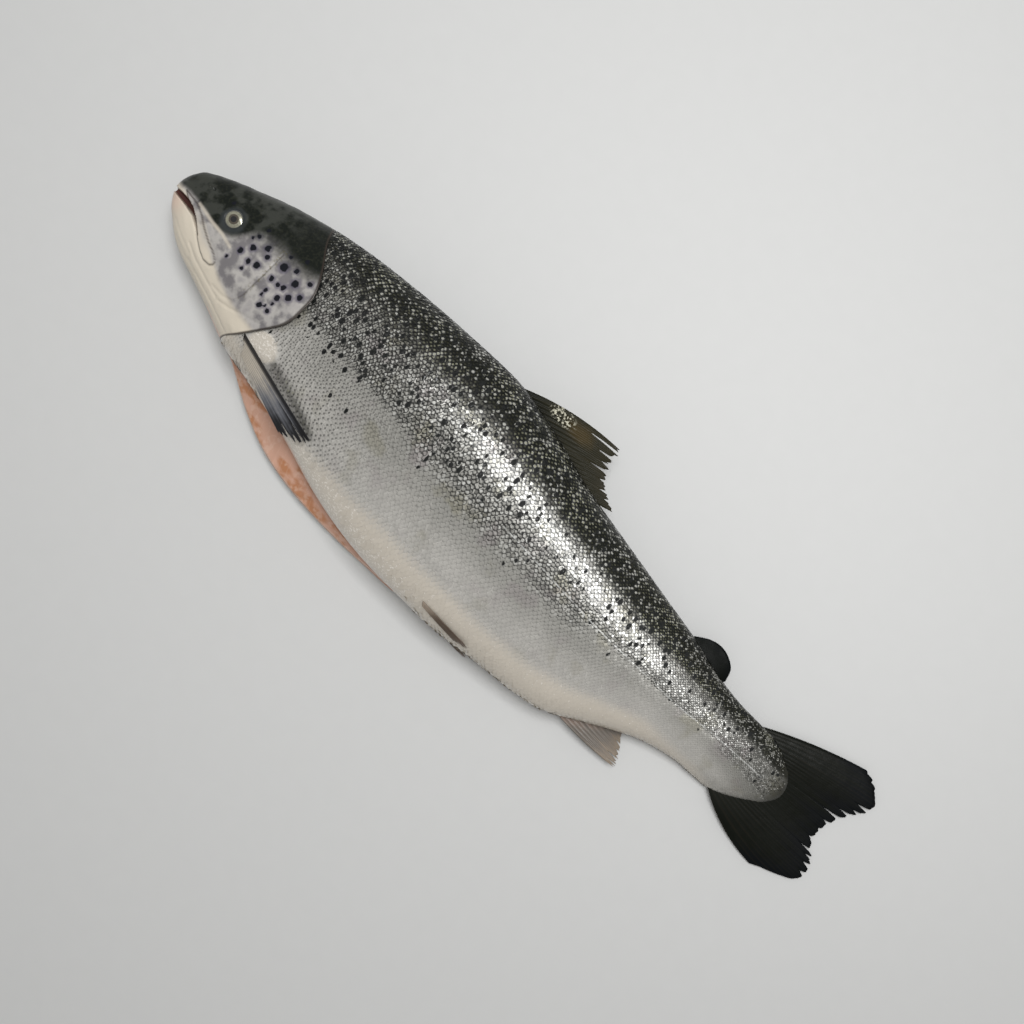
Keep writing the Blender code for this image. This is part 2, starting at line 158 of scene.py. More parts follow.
@dataclass(frozen=True)
class Ripple:
    """Soft unevenness made of a few waves that cross each other."""

    length: float
    height: float
    seed: int
    waves: int = 9

    def at(self, *places: np.ndarray) -> np.ndarray:
        """Height of the unevenness.

        Args:
            places: One array for each direction in space.

        Returns:
            Heights about zero.
        """
        dice = np.random.default_rng(self.seed)
        total = np.zeros(np.shape(places[0]))
        for _ in range(self.waves):
            heading = dice.normal(size=len(places))
            heading *= 2 * math.pi / self.length / np.linalg.norm(heading) * dice.uniform(0.6, 1.6)
            phase = dice.uniform(0, 2 * math.pi)
            total += np.sin(sum(p * h for p, h in zip(places, heading)) + phase)
        return total * self.height / math.sqrt(self.waves)


class Wire:
    """A socket's value in a node tree, which takes part in sums as a number does."""

    def __init__(self, graph: "Graph", socket: bpy.types.NodeSocket) -> None:
        """Keeps the graph and the socket."""
        self.graph = graph
        self.socket = socket

    def __add__(self, other: "Wire | float") -> "Wire":
        """This plus other."""
        return self.graph.maths("ADD", self, other)

    __radd__ = __add__

    def __sub__(self, other: "Wire | float") -> "Wire":
        """This minus other."""
        return self.graph.maths("SUBTRACT", self, other)

    def __rsub__(self, other: float) -> "Wire":
        """Other minus this."""
        return self.graph.maths("SUBTRACT", other, self)

    def __mul__(self, other: "Wire | float") -> "Wire":
        """This times other."""
        return self.graph.maths("MULTIPLY", self, other)

    __rmul__ = __mul__

    def __truediv__(self, other: "Wire | float") -> "Wire":
        """This over other."""
        return self.graph.maths("DIVIDE", self, other)

    def __lt__(self, other: "Wire | float") -> "Wire":
        """1 where this is less than other."""
        return self.graph.maths("LESS_THAN", self, other)

    def __gt__(self, other: "Wire | float") -> "Wire":
        """1 where this is more than other."""
        return self.graph.maths("GREATER_THAN", self, other)


Value = Wire | float | int | bool | str | tuple


class Graph:
    """A node tree that is written as expressions."""

    MIX_SOCKETS = (6, 7, 2)

    def __init__(self, tree: bpy.types.NodeTree) -> None:
        """Keeps the tree."""
        self.tree = tree

    def feed(self, socket: bpy.types.NodeSocket, value: Value) -> None:
        """Links a wire to a socket, or sets its value.

        Args:
            socket: The input to feed.
            value: A wire, or a plain value.
        """
        if isinstance(value, Wire):
            self.tree.links.new(value.socket, socket)
            return
        if socket.type == "RGBA" and len(value) == 3:
            value = (*value, 1)
        socket.default_value = value

    def node(self, kind: str, inputs: dict | None = None, output: int | str = 0, **settings: Value) -> Wire:
        """Adds a node.

        Args:
            kind: The node's type.
            inputs: Values or wires by socket name or number.
            output: The output to go on from.
            settings: The node's own settings, which are made first.

        Returns:
            The wire from that output.
        """
        made = self.tree.nodes.new(kind)
        for name, value in settings.items():
            setattr(made, name, value)
        for key, value in (inputs or {}).items():
            self.feed(made.inputs[key], value)
        return Wire(self, made.outputs[output])

    def maths(self, operation: str, first: Value, second: Value = 0.0) -> Wire:
        """A sum on two numbers."""
        return self.node("ShaderNodeMath", {0: first, 1: second}, operation=operation)

    def vector_maths(self, operation: str, first: Value, second: Value) -> Wire:
        """A sum on two vectors."""
        return self.node("ShaderNodeVectorMath", {0: first, 1: second}, operation=operation)

    def length(self, vector: Wire) -> Wire:
        """The length of a vector."""
        return self.node("ShaderNodeVectorMath", {0: vector}, 1, operation="LENGTH")

    def hypotenuse(self, first: Wire, second: Wire) -> Wire:
        """The long side of a right triangle with these two short ones."""
        return self.maths("SQRT", first * first + second * second)

    def bump(self, height: Wire, strength: float, distance: float = 0.0006) -> Wire:
        """A normal that follows small heights."""
        return self.node("ShaderNodeBump", {"Strength": strength, "Distance": distance, "Height": height})

    def scaled(self, vector: Wire, factor: Value) -> Wire:
        """A vector times a number."""
        return self.node("ShaderNodeVectorMath", {0: vector, "Scale": factor}, operation="SCALE")

    def mix(self, factor: Value, first: Value, second: Value, blend: str = "MIX") -> Wire:
        """Mixes two colours.

        Args:
            factor: Share of the second colour.
            first: The colour at 0.
            second: The colour at 1.
            blend: How the two meet.

        Returns:
            The mixed colour.
        """
        a, b, result = self.MIX_SOCKETS
        inputs = {0: factor, a: first, b: second}
        return self.node("ShaderNodeMix", inputs, result, data_type="RGBA", blend_type=blend)

    def band(self, value: Wire, low: float, high: float, at_low: float = 0.0, at_high: float = 1.0) -> Wire:
        """An S-shaped change of a value, from at_low where it is low to at_high where it is high."""
        inputs = {0: value, 1: low, 2: high, 3: at_low, 4: at_high}
        return self.node("ShaderNodeMapRange", inputs, interpolation_type="SMOOTHSTEP")

    def noise(self, place: Wire, scale: float, detail: float = 2.0, output: int = 0) -> Wire:
        """Soft noise, finer at a larger scale."""
        return self.node("ShaderNodeTexNoise", {"Vector": place, "Scale": scale, "Detail": detail}, output)

    def channels(self, colour: Wire) -> tuple[Wire, Wire, Wire]:
        """Splits a colour, in a material.

        Args:
            colour: The colour.

        Returns:
            Its red, green and blue.
        """
        made = self.tree.nodes.new("ShaderNodeSeparateColor")
        self.feed(made.inputs[0], colour)
        return tuple(Wire(self, socket) for socket in made.outputs[:3])

    def axes(self, vector: Wire) -> tuple[Wire, Wire, Wire]:
        """Splits a vector.

        Args:
            vector: The vector.

        Returns:
            Its x, y and z.
        """
        made = self.tree.nodes.new("ShaderNodeSeparateXYZ")
        self.feed(made.inputs[0], vector)
        return tuple(Wire(self, socket) for socket in made.outputs)


class Finish:
    """Shared ground of the finishes: a material with one Principled surface."""

    def start(self, name: str) -> tuple[bpy.types.Material, Graph, bpy.types.ShaderNode]:
        """Makes an empty material.

        Args:
            name: The material's name.

        Returns:
            The material, its graph and its Principled shader.
        """
        material = bpy.data.materials.new(name)
        material.use_nodes = True
        return material, Graph(material.node_tree), material.node_tree.nodes["Principled BSDF"]

    def place(self, graph: Graph) -> Wire:
        """Object coordinates, in metres."""
        return graph.node("ShaderNodeTexCoord", output="Object")

    def attribute(self, graph: Graph, name: str, output: str = "Color") -> Wire:
        """An attribute that the mesh carries."""
        return graph.node("ShaderNodeAttribute", output=output, attribute_name=name)

    def stations(self, places: tuple[float, ...]) -> list[float]:
        """Places along the fish as Object coordinates."""
        return [float(to_metres(np.array([place, 0.0, 0.0]))[0]) for place in places]

    def dress(self, graph: Graph, shader: bpy.types.ShaderNode, **values: Value) -> None:
        """Feeds the shader's sockets, which are named with underscores for blanks."""
        for name, value in values.items():
            graph.feed(shader.inputs[name.replace("_", " ")], value)


@dataclass(frozen=True)
class FlankColours(Finish):
    """The colours of back, flank and belly, and the black spots, for skin and scales alike."""

    silver: Colour = (0.56, 0.545, 0.51)
    grey: Colour = (0.32, 0.315, 0.29)
    tan: Colour = (0.23, 0.21, 0.12)
    mauve: Colour = (0.30, 0.25, 0.265)
    olive: Colour = (0.006, 0.007, 0.004)
    moss: Colour = (0.015, 0.015, 0.007)
    cream: Colour = (0.55, 0.505, 0.435)
    line: Colour = (0.75, 0.76, 0.74)
    spot: Colour = (0.004, 0.005, 0.005)
    spot_spacing: float = 6.6
    spot_radius: tuple[float, float] = (0.26, 0.42)
    spot_stretch: tuple[float, float, float] = (1.15, 0.78, 0.78)
    spot_scatter: float = 0.8
    spot_wobble: float = 0.0035
    tan_share: float = 0.4
    mauve_share: float = 0.35
    broad_noise: float = 26.0
    hue_noise: float = 38.0
    spot_noise: float = 190.0
    fine_noise: float = 240.0

    def colour(self, graph: Graph) -> tuple[Wire, Wire, Wire, Wire]:
        """The colour of the flank at each place.

        Args:
            graph: The graph to build in.

        Returns:
            The colour, and the masks of the dark back, the cream belly and the spots.
        """
        place = self.place(graph)
        back, belly, crowd = graph.channels(self.attribute(graph, "zones"))
        broad, fine = graph.noise(place, self.broad_noise), graph.noise(place, self.fine_noise, 3)
        dark = graph.band(back + (broad - 0.5) * 0.3 + (fine - 0.5) * 0.2, 0.05, 0.95)
        pale = graph.band(belly + (broad - 0.5) * 0.2, 0.5, 1.0)
        silver = graph.mix(graph.band(belly + (broad - 0.5) * 0.3, 0.0, 0.6), self.grey, self.silver)
        toward_tan, toward_mauve, _ = graph.channels(graph.noise(place, self.hue_noise, 3, 1))
        tan = graph.band(toward_tan, 0.54, 0.68) * self.tan_share * (1 - belly)
        silver = graph.mix(tan, silver, self.tan)
        mauve = graph.band(toward_mauve, 0.54, 0.68) * self.mauve_share * (1 - belly)
        silver = graph.mix(mauve, silver, self.mauve)
        olive = graph.mix(graph.band(fine, 0.42, 0.62), self.olive, self.moss)
        base = graph.mix(pale, graph.mix(dark, silver, olive), self.cream)
        spots = self.spots(graph, place, crowd)
        return graph.mix(spots, base, self.spot), dark, pale, spots

    def spots(self, graph: Graph, place: Wire, crowd: Wire) -> Wire:
        """The mask of the black spots.

        Args:
            graph: The graph to build in.
            place: Object coordinates.
            crowd: How many of the possible spots are there, from 0 to 1.

        Returns:
            1 on a spot, 0 off it.
        """
        wobble = graph.vector_maths("SUBTRACT", graph.noise(place, self.spot_noise, 2, 1), (0.5, 0.5, 0.5))
        shifted = graph.vector_maths("ADD", place, graph.scaled(wobble, self.spot_wobble))
        shifted = graph.vector_maths("MULTIPLY", shifted, self.spot_stretch)
        scale = 1 / (self.spot_spacing * MM)
        cells = {"Vector": shifted, "Scale": scale, "Randomness": self.spot_scatter}
        distance = graph.node("ShaderNodeTexVoronoi", cells)
        chance, size, _ = graph.channels(graph.node("ShaderNodeTexVoronoi", cells, 1))
        low, high = self.spot_radius
        reach = low + size * crowd * (high - low)
        within = graph.band(reach - distance, -0.04, 0.06)
        return within * (chance < crowd)


@dataclass(frozen=True)
class SkinFinish(FlankColours):
    """Wet skin under the scales, and the pale walls of the belly cut."""

    wall: Colour = (0.52, 0.30, 0.22)
    rim: Colour = (0.78, 0.68, 0.60)
    rim_share: float = 0.8
    wrinkle: Colour = (0.92, 0.88, 0.82)
    wrinkle_share: float = 0.55
    wrinkle_noise: float = 520.0
    grain_noise: float = 420.0
    relief: float = 0.0009
    roughness: float = 0.32
    metallic: float = 0.25

    def material(self) -> bpy.types.Material:
        """Makes the material of the body's skin.

        Returns:
            The material, which reads the zones that the mesh carries.
        """
        material, graph, shader = self.start("wet_skin")
        place = self.place(graph)
        base, dark, pale, _ = self.colour(graph)
        cut = self.attribute(graph, "zones", "Alpha")
        squeezed = graph.vector_maths("MULTIPLY", place, (1.0, 1.8, 1.0))
        wrinkles = graph.noise(squeezed, self.wrinkle_noise, 3)
        creased = graph.mix(graph.band(wrinkles, 0.52, 0.64) * pale * self.wrinkle_share, base, self.wrinkle)
        rim = graph.band(cut, 0.02, 0.25) * graph.band(cut, 0.9, 0.5)
        height = wrinkles * pale + graph.noise(place, self.grain_noise) * (1 - pale) * 0.5
        self.dress(
            graph, shader,
            Base_Color=graph.mix(rim * self.rim_share, graph.mix(cut, creased, self.wall), self.rim),
            Roughness=graph.band(dark, 0, 1, self.roughness, self.roughness - 0.08),
            Metallic=(1 - pale) * self.metallic,
            Normal=graph.bump(height, 0.35, self.relief),
            Coat_Weight=0.3,
            Coat_Roughness=0.15,
        )  # fmt: skip
        return material


@dataclass(frozen=True)
class ScaleFinish(FlankColours):
    """Wet overlapping scales, each with a bright middle, a darker gap round it and its own brightness, with
    painted highlights on the upper flank and painted glints on the dark back.

    Places and reaches on a scale are shares of its length and of its width.
    """

    gap: Colour = (0.012, 0.013, 0.012)
    dot: Colour = (0.03, 0.03, 0.03)
    # painted highlight: the colour of the glints on the dark back's scales
    painted_glint: Colour = (0.36, 0.36, 0.25)
    # painted highlight colour of the bright scales on the upper flank
    bright: Colour = (0.62, 0.62, 0.59)
    middle: tuple[float, float] = (0.62, 0.5)
    middle_reach: tuple[float, float] = (0.36, 0.30)
    dot_place: tuple[float, float] = (0.88, 0.5)
    dot_reach: tuple[float, float] = (0.18, 0.16)
    dotted_until: tuple[float, float] = (215.0, 300.0)
    dot_shares: tuple[float, float] = (0.75, 0.12)
    painted_highlight_share: float = 0.8
    deep_share: float = 0.5
    line_from: tuple[float, float] = (332.45, 382.45)
    line_shares: tuple[float, float] = (0.02, 0.45)
    line_half_width: tuple[float, float] = (0.8, 0.3)
    patch_noise: float = 24.0
    upper_noise: float = 30.0
    line_noise: float = 200.0
    stipple_noise: float = 380.0
    roughness: float = 0.24
    metallic: float = 0.35

    def nearness(self, graph: Graph, along: Wire, across: Wire, place: tuple, reach: tuple) -> Wire:
        """Distance of a place on the scale from a point of it, in reaches."""
        return graph.hypotenuse((along - place[0]) / reach[0], (across - place[1]) / reach[1])

    def material(self) -> bpy.types.Material:
        """Makes the material of the scales.

        Returns:
            The material, which reads the zones, shade and side line that the mesh carries and the UV map of
            each scale.
        """
        material, graph, shader = self.start("wet_scales")
        base, dark, pale, spots = self.colour(graph)
        shade = self.attribute(graph, "shade", "Fac")
        along, across, _ = graph.axes(graph.node("ShaderNodeUVMap", uv_map="blade"))
        place = self.place(graph)
        x, _, _ = graph.axes(place)
        _, low, _ = graph.channels(self.attribute(graph, "zones"))
        off_middle = self.nearness(graph, along, across, self.middle, self.middle_reach)
        upper = graph.band(low + (graph.noise(place, self.upper_noise) - 0.5) * 0.12, 0.12, 0.0)
        stipple = graph.band(graph.noise(place, self.stipple_noise, 2), 0.4, 0.6)
        around = graph.band(off_middle + upper * 0.35, 0.8, 1.3)
        gaps = around * ((1 - pale) * (graph.band(low, 0.5, 0.05) * 0.34 + 0.18) + upper * 0.4)
        # Random scales on the upper flank: the high ones are painted bright as painted highlights, and the
        # deep ones are darkened to the gap's colour.
        deep = graph.band(shade + (stipple - 0.5) * 0.5, 0.55, 1.0)
        high = graph.band(shade + (stipple - 0.5) * 0.5, 0.5, 0.0)
        lit = graph.mix(shade * (1 - pale) * 0.08, base, (0.0, 0.0, 0.0))
        lit = graph.mix(high * upper * (1 - spots) * self.painted_highlight_share, lit, self.bright)
        lit = graph.mix(deep * upper * self.deep_share, lit, self.gap)
        laid = graph.mix(gaps, lit, self.gap)
        dots = graph.band(self.nearness(graph, along, across, self.dot_place, self.dot_reach), 1.2, 0.5)
        dots = dots * graph.band(x, *self.stations(self.dotted_until), *self.dot_shares) * (1 - pale)
        laid = graph.mix(dots, laid, self.dot)
        # Painted glints: the middles of random scales on the dark back are painted bright, in patches, and
        # fade where the flank turns away near the silhouette.
        _, _, facing = graph.axes(graph.node("ShaderNodeNewGeometry", output="Normal"))
        glint_core = graph.band(off_middle, 0.66, 0.28) * (1 - spots)
        glint_core = glint_core * graph.band(graph.maths("ABSOLUTE", facing), 0.2, 0.5)
        glint_core = glint_core * graph.band(graph.noise(place, self.patch_noise), 0.4, 0.62, 0.2, 1.0)
        painted_glints = glint_core * dark * graph.band(shade, 0.0, 1.0, 1.0, 0.15)
        lateral = graph.maths("ABSOLUTE", self.attribute(graph, "side_line", "Fac"))
        broken = graph.band(graph.noise(place, self.line_noise), 0.4, 0.6)
        broken = broken * graph.band(x, *self.stations(self.line_from), *self.line_shares)
        laid = graph.mix(graph.band(lateral, *self.line_half_width) * broken, laid, self.line)
        self.dress(
            graph, shader,
            Base_Color=graph.mix(painted_glints, laid, self.painted_glint),
            Roughness=self.roughness + shade * 0.12 + spots * 0.3,
            Metallic=(1 - pale) * (1 - spots) * self.metallic,
            Specular_IOR_Level=0.19,
            Coat_Weight=(1 - spots) * (1 - dark) * 0.4,
            Coat_Roughness=0.16,
        )  # fmt: skip
        return material


@dataclass(frozen=True)
class HeadFinish(Finish):
    """The smooth skin of the head: olive top, silver-lilac cheeks with black spots and a cream jaw."""

    crown: Colour = (0.008, 0.010, 0.008)
    crown_light: Colour = (0.018, 0.020, 0.014)
    cheek: Colour = (0.20, 0.19, 0.195)
    cheek_light: Colour = (0.50, 0.48, 0.45)
    halo: Colour = (0.085, 0.074, 0.12)
    jaw: Colour = (0.64, 0.58, 0.48)
    blush: Colour = (0.66, 0.40, 0.32)
    spot: Colour = (0.008, 0.009, 0.013)
    gold: Colour = (0.16, 0.14, 0.07)
    slate: Colour = (0.050, 0.053, 0.046)
    # brown of the jaw plate's outline, also painted as shade on the gill cover's turned-in edge
    lip: Colour = (0.035, 0.027, 0.022)
    mouth: Colour = (0.10, 0.042, 0.034)
    socket: Colour = (0.035, 0.04, 0.042)
    slate_from: tuple[float, float] = (124.45, 82.45)
    slate_share: float = 0.75
    halo_share: float = 0.7
    gold_share: float = 0.6
    blush_share: float = 0.7
    socket_share: float = 0.85
    lip_share: float = 0.9
    broad_noise: float = 45.0
    patch_noise: float = 95.0
    fine_noise: float = 420.0

    def material(self) -> bpy.types.Material:
        """Makes the material of the head.

        Returns:
            The material, which reads the zones and tints that the mesh carries.
        """
        material, graph, shader = self.start("head_skin")
        place = self.place(graph)
        top, pale, spots = graph.channels(self.attribute(graph, "zones"))
        inside = self.attribute(graph, "zones", "Alpha")
        gold, blush, lip = graph.channels(self.attribute(graph, "tints"))
        ring = self.attribute(graph, "tints", "Alpha")
        broad, fine = graph.noise(place, self.broad_noise), graph.noise(place, self.fine_noise, 3)
        crown = graph.mix(graph.band(fine, 0.45, 0.7), self.crown, self.crown_light)
        patches = graph.noise(place, self.patch_noise, 3)
        x, _, _ = graph.axes(place)
        front = graph.band(patches + (broad - 0.5) * 0.5, 0.42, 0.62)
        front = front * graph.band(x, *self.stations(self.slate_from))
        crown = graph.mix(front * self.slate_share, crown, self.slate)
        cheek = graph.mix(graph.band(patches + (broad - 0.5) * 0.6, 0.36, 0.62), self.cheek, self.cheek_light)
        dark = graph.band(top + (broad - 0.5) * 0.4 + (fine - 0.5) * 0.2, 0.1, 0.9)
        halo = graph.band(spots + (patches - 0.5) * 0.9, -0.1, 0.5)
        skin = graph.mix(dark, graph.mix(halo * self.halo_share, cheek, self.halo), crown)
        skin = graph.mix(graph.band(pale + (broad - 0.5) * 0.3, 0.2, 0.8), skin, self.jaw)
        skin = graph.mix(gold * graph.band(fine, 0.52, 0.6) * self.gold_share, skin, self.gold)
        skin = graph.mix(blush * self.blush_share, skin, self.blush)
        skin = graph.mix(ring * self.socket_share, skin, self.socket)
        skin = graph.mix(lip * self.lip_share, skin, self.lip)
        skin = graph.mix(graph.band(spots + (fine - 0.5) * 0.12, 0.42, 0.58), skin, self.spot)
        skin = graph.mix(inside, skin, self.mouth)
        self.dress(
            graph, shader,
            Base_Color=skin,
            Roughness=graph.band(dark, 0, 1, 0.36, 0.3),
            Metallic=(1 - dark) * (1 - pale) * 0.2,
            Specular_IOR_Level=0.16,
            Normal=graph.bump(fine, 0.25),
            Coat_Weight=(1 - dark) * 0.15,
            Coat_Roughness=0.15,
        )  # fmt: skip
        return material


@dataclass(frozen=True)
class FleshFinish(Finish):
    """Raw flesh: pink-orange bands of muscle between fine pale lines, a pale rim, and a dark line under the
    upper flap's edge that is partly blood and partly painted shade.
    """

    pink: Colour = (0.56, 0.33, 0.24)
    orange: Colour = (0.43, 0.19, 0.09)
    line: Colour = (0.66, 0.46, 0.36)
    rim: Colour = (0.66, 0.56, 0.46)
    # dark line under the upper flap's edge: partly blood, partly painted shade
    flap_shade_and_blood: Colour = (0.15, 0.06, 0.045)
    flap_shade_and_blood_share: float = 0.65
    line_share: float = 0.12
    marbled_share: float = 0.4
    band_length: float = 7.5
    blotch_noise: float = 75.0
    marble_noise: float = 150.0
    grain_noise: float = 500.0

    def material(self) -> bpy.types.Material:
        """Makes the material of the belly's wall.

        Returns:
            The material, which reads the place across the flap that the mesh carries.
        """
        material, graph, shader = self.start("raw_flesh")
        place = self.place(graph)
        across, under_flap, _ = graph.channels(self.attribute(graph, "zones"))
        x, y, _ = graph.axes(place)
        blotch = graph.noise(graph.vector_maths("MULTIPLY", place, (0.55, 1.0, 1.0)), self.blotch_noise, 3)
        marbled = graph.band(graph.noise(place, self.marble_noise, 3), 0.54, 0.64) * self.marbled_share
        slant = x + y * 0.35 + (blotch - 0.5) * 0.004
        wave = graph.maths("SINE", slant * (2 * math.pi / (self.band_length * MM)))
        flesh = graph.mix(graph.band(blotch, 0.46, 0.6), self.pink, self.orange)
        lines = graph.maths("MAXIMUM", graph.band(wave, 0.8, 0.99) * self.line_share, marbled)
        flesh = graph.mix(lines, flesh, self.line)
        flesh = graph.mix(graph.band(across + (blotch - 0.5) * 0.15, 0.04, 0.16, 1.0, 0.0), flesh, self.rim)
        # painted shade, with blood, under the upper flap's edge
        flesh = graph.mix(under_flap * self.flap_shade_and_blood_share, flesh, self.flap_shade_and_blood)
        grain = graph.noise(place, self.grain_noise, 3)
        self.dress(
            graph, shader,
            Base_Color=flesh,
            Roughness=graph.band(grain, 0.3, 0.7, 0.3, 0.45),
            Metallic=0.0,
            Normal=graph.bump(grain + wave * 0.4, 0.3),
            Coat_Weight=0.5,
            Coat_Roughness=0.15,
        )  # fmt: skip
        return material


@dataclass(frozen=True)
class FinFinish(Finish):
    """A fin's colours from its root to its tips, along its rays and on the webs between them.

    Fades are the shares of the way out where the root's colour starts and ends to change, and the tip's.
    Amber is a patch's place, its half length and how far ahead of it the painted highlight specks lie, in
    half lengths.
    """

    name: str
    root: Colour
    middle: Colour
    tip: Colour
    ray: Colour
    ray_strength: float = 0.6
    shine: float = 0.25
    fades: tuple[float, float, float, float] = (0.0, 0.45, 0.6, 1.0)
    # share of the dark leading edge: partly the fin's own dark first ray, partly painted shade
    leading_edge_and_shade: float = 0.0
    amber: tuple[float, float, float, float] | None = None
    amber_tint: Colour = (0.058, 0.042, 0.017)
    amber_share: float = 0.85
    # painted highlight colour of the specks beside the amber patch
    painted_glint: Colour = (0.60, 0.58, 0.46)
    painted_glint_share: float = 0.85
    mottle_noise: float = 130.0
    amber_noise: float = 110.0
    painted_glint_noise: float = 480.0
    roughness: float = 0.38

    def material(self) -> bpy.types.Material:
        """Makes the material of one kind of fin.

        Returns:
            The material, which reads the places on the fan that the mesh carries.
        """
        material, graph, shader = self.start(self.name)
        place = self.place(graph)
        out, ridge, own = graph.channels(self.attribute(graph, "fan"))
        mottle = graph.noise(place, self.mottle_noise, 3)
        reach = out + (mottle - 0.5) * 0.25 + (own - 0.5) * out * 0.3
        edge = self.attribute(graph, "fan", "Alpha")
        start, middle, late, end = self.fades
        skin = graph.mix(graph.band(reach, start, middle), self.root, self.middle)
        skin = graph.mix(graph.band(reach, late, end), skin, self.tip)
        streak = graph.band(ridge, 0.55, 1.0) * (own * 0.6 + 0.4) * self.ray_strength
        skin = graph.mix(streak, skin, self.ray)
        # dark leading edge in the tip's colour, partly the fin's own dark ray and partly painted shade
        skin = graph.mix(graph.band(edge, 0.12, 0.32, 1.0, 0.0) * self.leading_edge_and_shade, skin, self.tip)
        if self.amber:
            skin = self.amber_and_painted_specks(graph, place, skin)
        self.dress(
            graph, shader,
            Base_Color=skin,
            Roughness=graph.band(mottle, 0.3, 0.7, self.roughness - 0.08, self.roughness + 0.08),
            Metallic=0.0,
            Specular_IOR_Level=self.shine,
            Normal=graph.bump(mottle, 0.3),
            Coat_Weight=self.shine * 0.4,
            Coat_Roughness=0.18,
        )  # fmt: skip
        return material

    def amber_and_painted_specks(self, graph: Graph, place: Wire, skin: Wire) -> Wire:
        """A fin's skin with an amber patch and painted highlight specks beside it.

        Args:
            graph: The graph to build in.
            place: Object coordinates.
            skin: The colour without them.

        Returns:
            The colour with them.
        """
        x, y, reach, speck_shift = self.amber
        at_x, at_y, _ = (float(value) for value in to_metres(np.array([x, y, 0.0])))
        px, py, _ = graph.axes(place)
        across, up = (px - at_x) / (reach * MM), (py - at_y) / (reach * 0.5 * MM)
        uneven = graph.noise(place, self.amber_noise) * 0.6
        patch = graph.band(graph.hypotenuse(across, up) + uneven, 1.3, 0.5)
        skin = graph.mix(patch * self.amber_share, skin, self.amber_tint)
        # painted highlight specks ahead of the amber patch
        highlight_specks = graph.band(graph.hypotenuse(across + speck_shift, up), 0.79, 0.395)
        highlight_specks = highlight_specks * graph.band(graph.noise(place, self.painted_glint_noise, 2), 0.5, 0.58)
        return graph.mix(highlight_specks * self.painted_glint_share, skin, self.painted_glint)


@dataclass(frozen=True)
class EyeFinish(Finish):
    """A glassy eye: black pupil, pale straw iris with a silver rim, and a clear coat."""

    centre: tuple[float, float]
    radius: float
    pupil_share: float = 0.34
    pupil: Colour = (0.006, 0.006, 0.007)
    inner: Colour = (0.075, 0.062, 0.045)
    iris: Colour = (0.34, 0.33, 0.25)
    iris_dark: Colour = (0.17, 0.165, 0.125)
    rim: Colour = (0.05, 0.055, 0.055)
    wobble_noise: float = 700.0
    grain_noise: float = 900.0

    def material(self) -> bpy.types.Material:
        """Makes the material of the eyes.

        Returns:
            The material, drawn in rings round the eye's centre.
        """
        material, graph, shader = self.start("glassy_eye")
        place = self.place(graph)
        middle = to_metres(np.array([*self.centre, 0.0]))
        offset = graph.vector_maths("SUBTRACT", place, (float(middle[0]), float(middle[1]), 0.0))
        flat = graph.vector_maths("MULTIPLY", offset, (1.0, 1.0, 0.0))
        wobble = (graph.noise(place, self.wobble_noise) - 0.5) * 0.06
        out = graph.length(flat) / (self.radius * MM) + wobble
        grain = graph.band(graph.noise(place, self.grain_noise, 3), 0.35, 0.65)
        iris = graph.mix(grain * 0.6, self.iris, self.iris_dark)
        iris = graph.mix(graph.band(out, 0.62, 0.5), iris, self.inner)
        eye = graph.mix(graph.band(out, self.pupil_share - 0.03, self.pupil_share + 0.04), self.pupil, iris)
        eye = graph.mix(graph.band(out, 0.84, 0.98), eye, self.rim)
        self.dress(
            graph, shader,
            Base_Color=eye,
            Roughness=graph.band(out, 0.3, 0.5, 0.12, 0.25),
            Metallic=graph.band(out, self.pupil_share, self.pupil_share + 0.1, 0.0, 0.35),
            Coat_Weight=1.0,
            Coat_Roughness=0.03,
        )  # fmt: skip
        return material


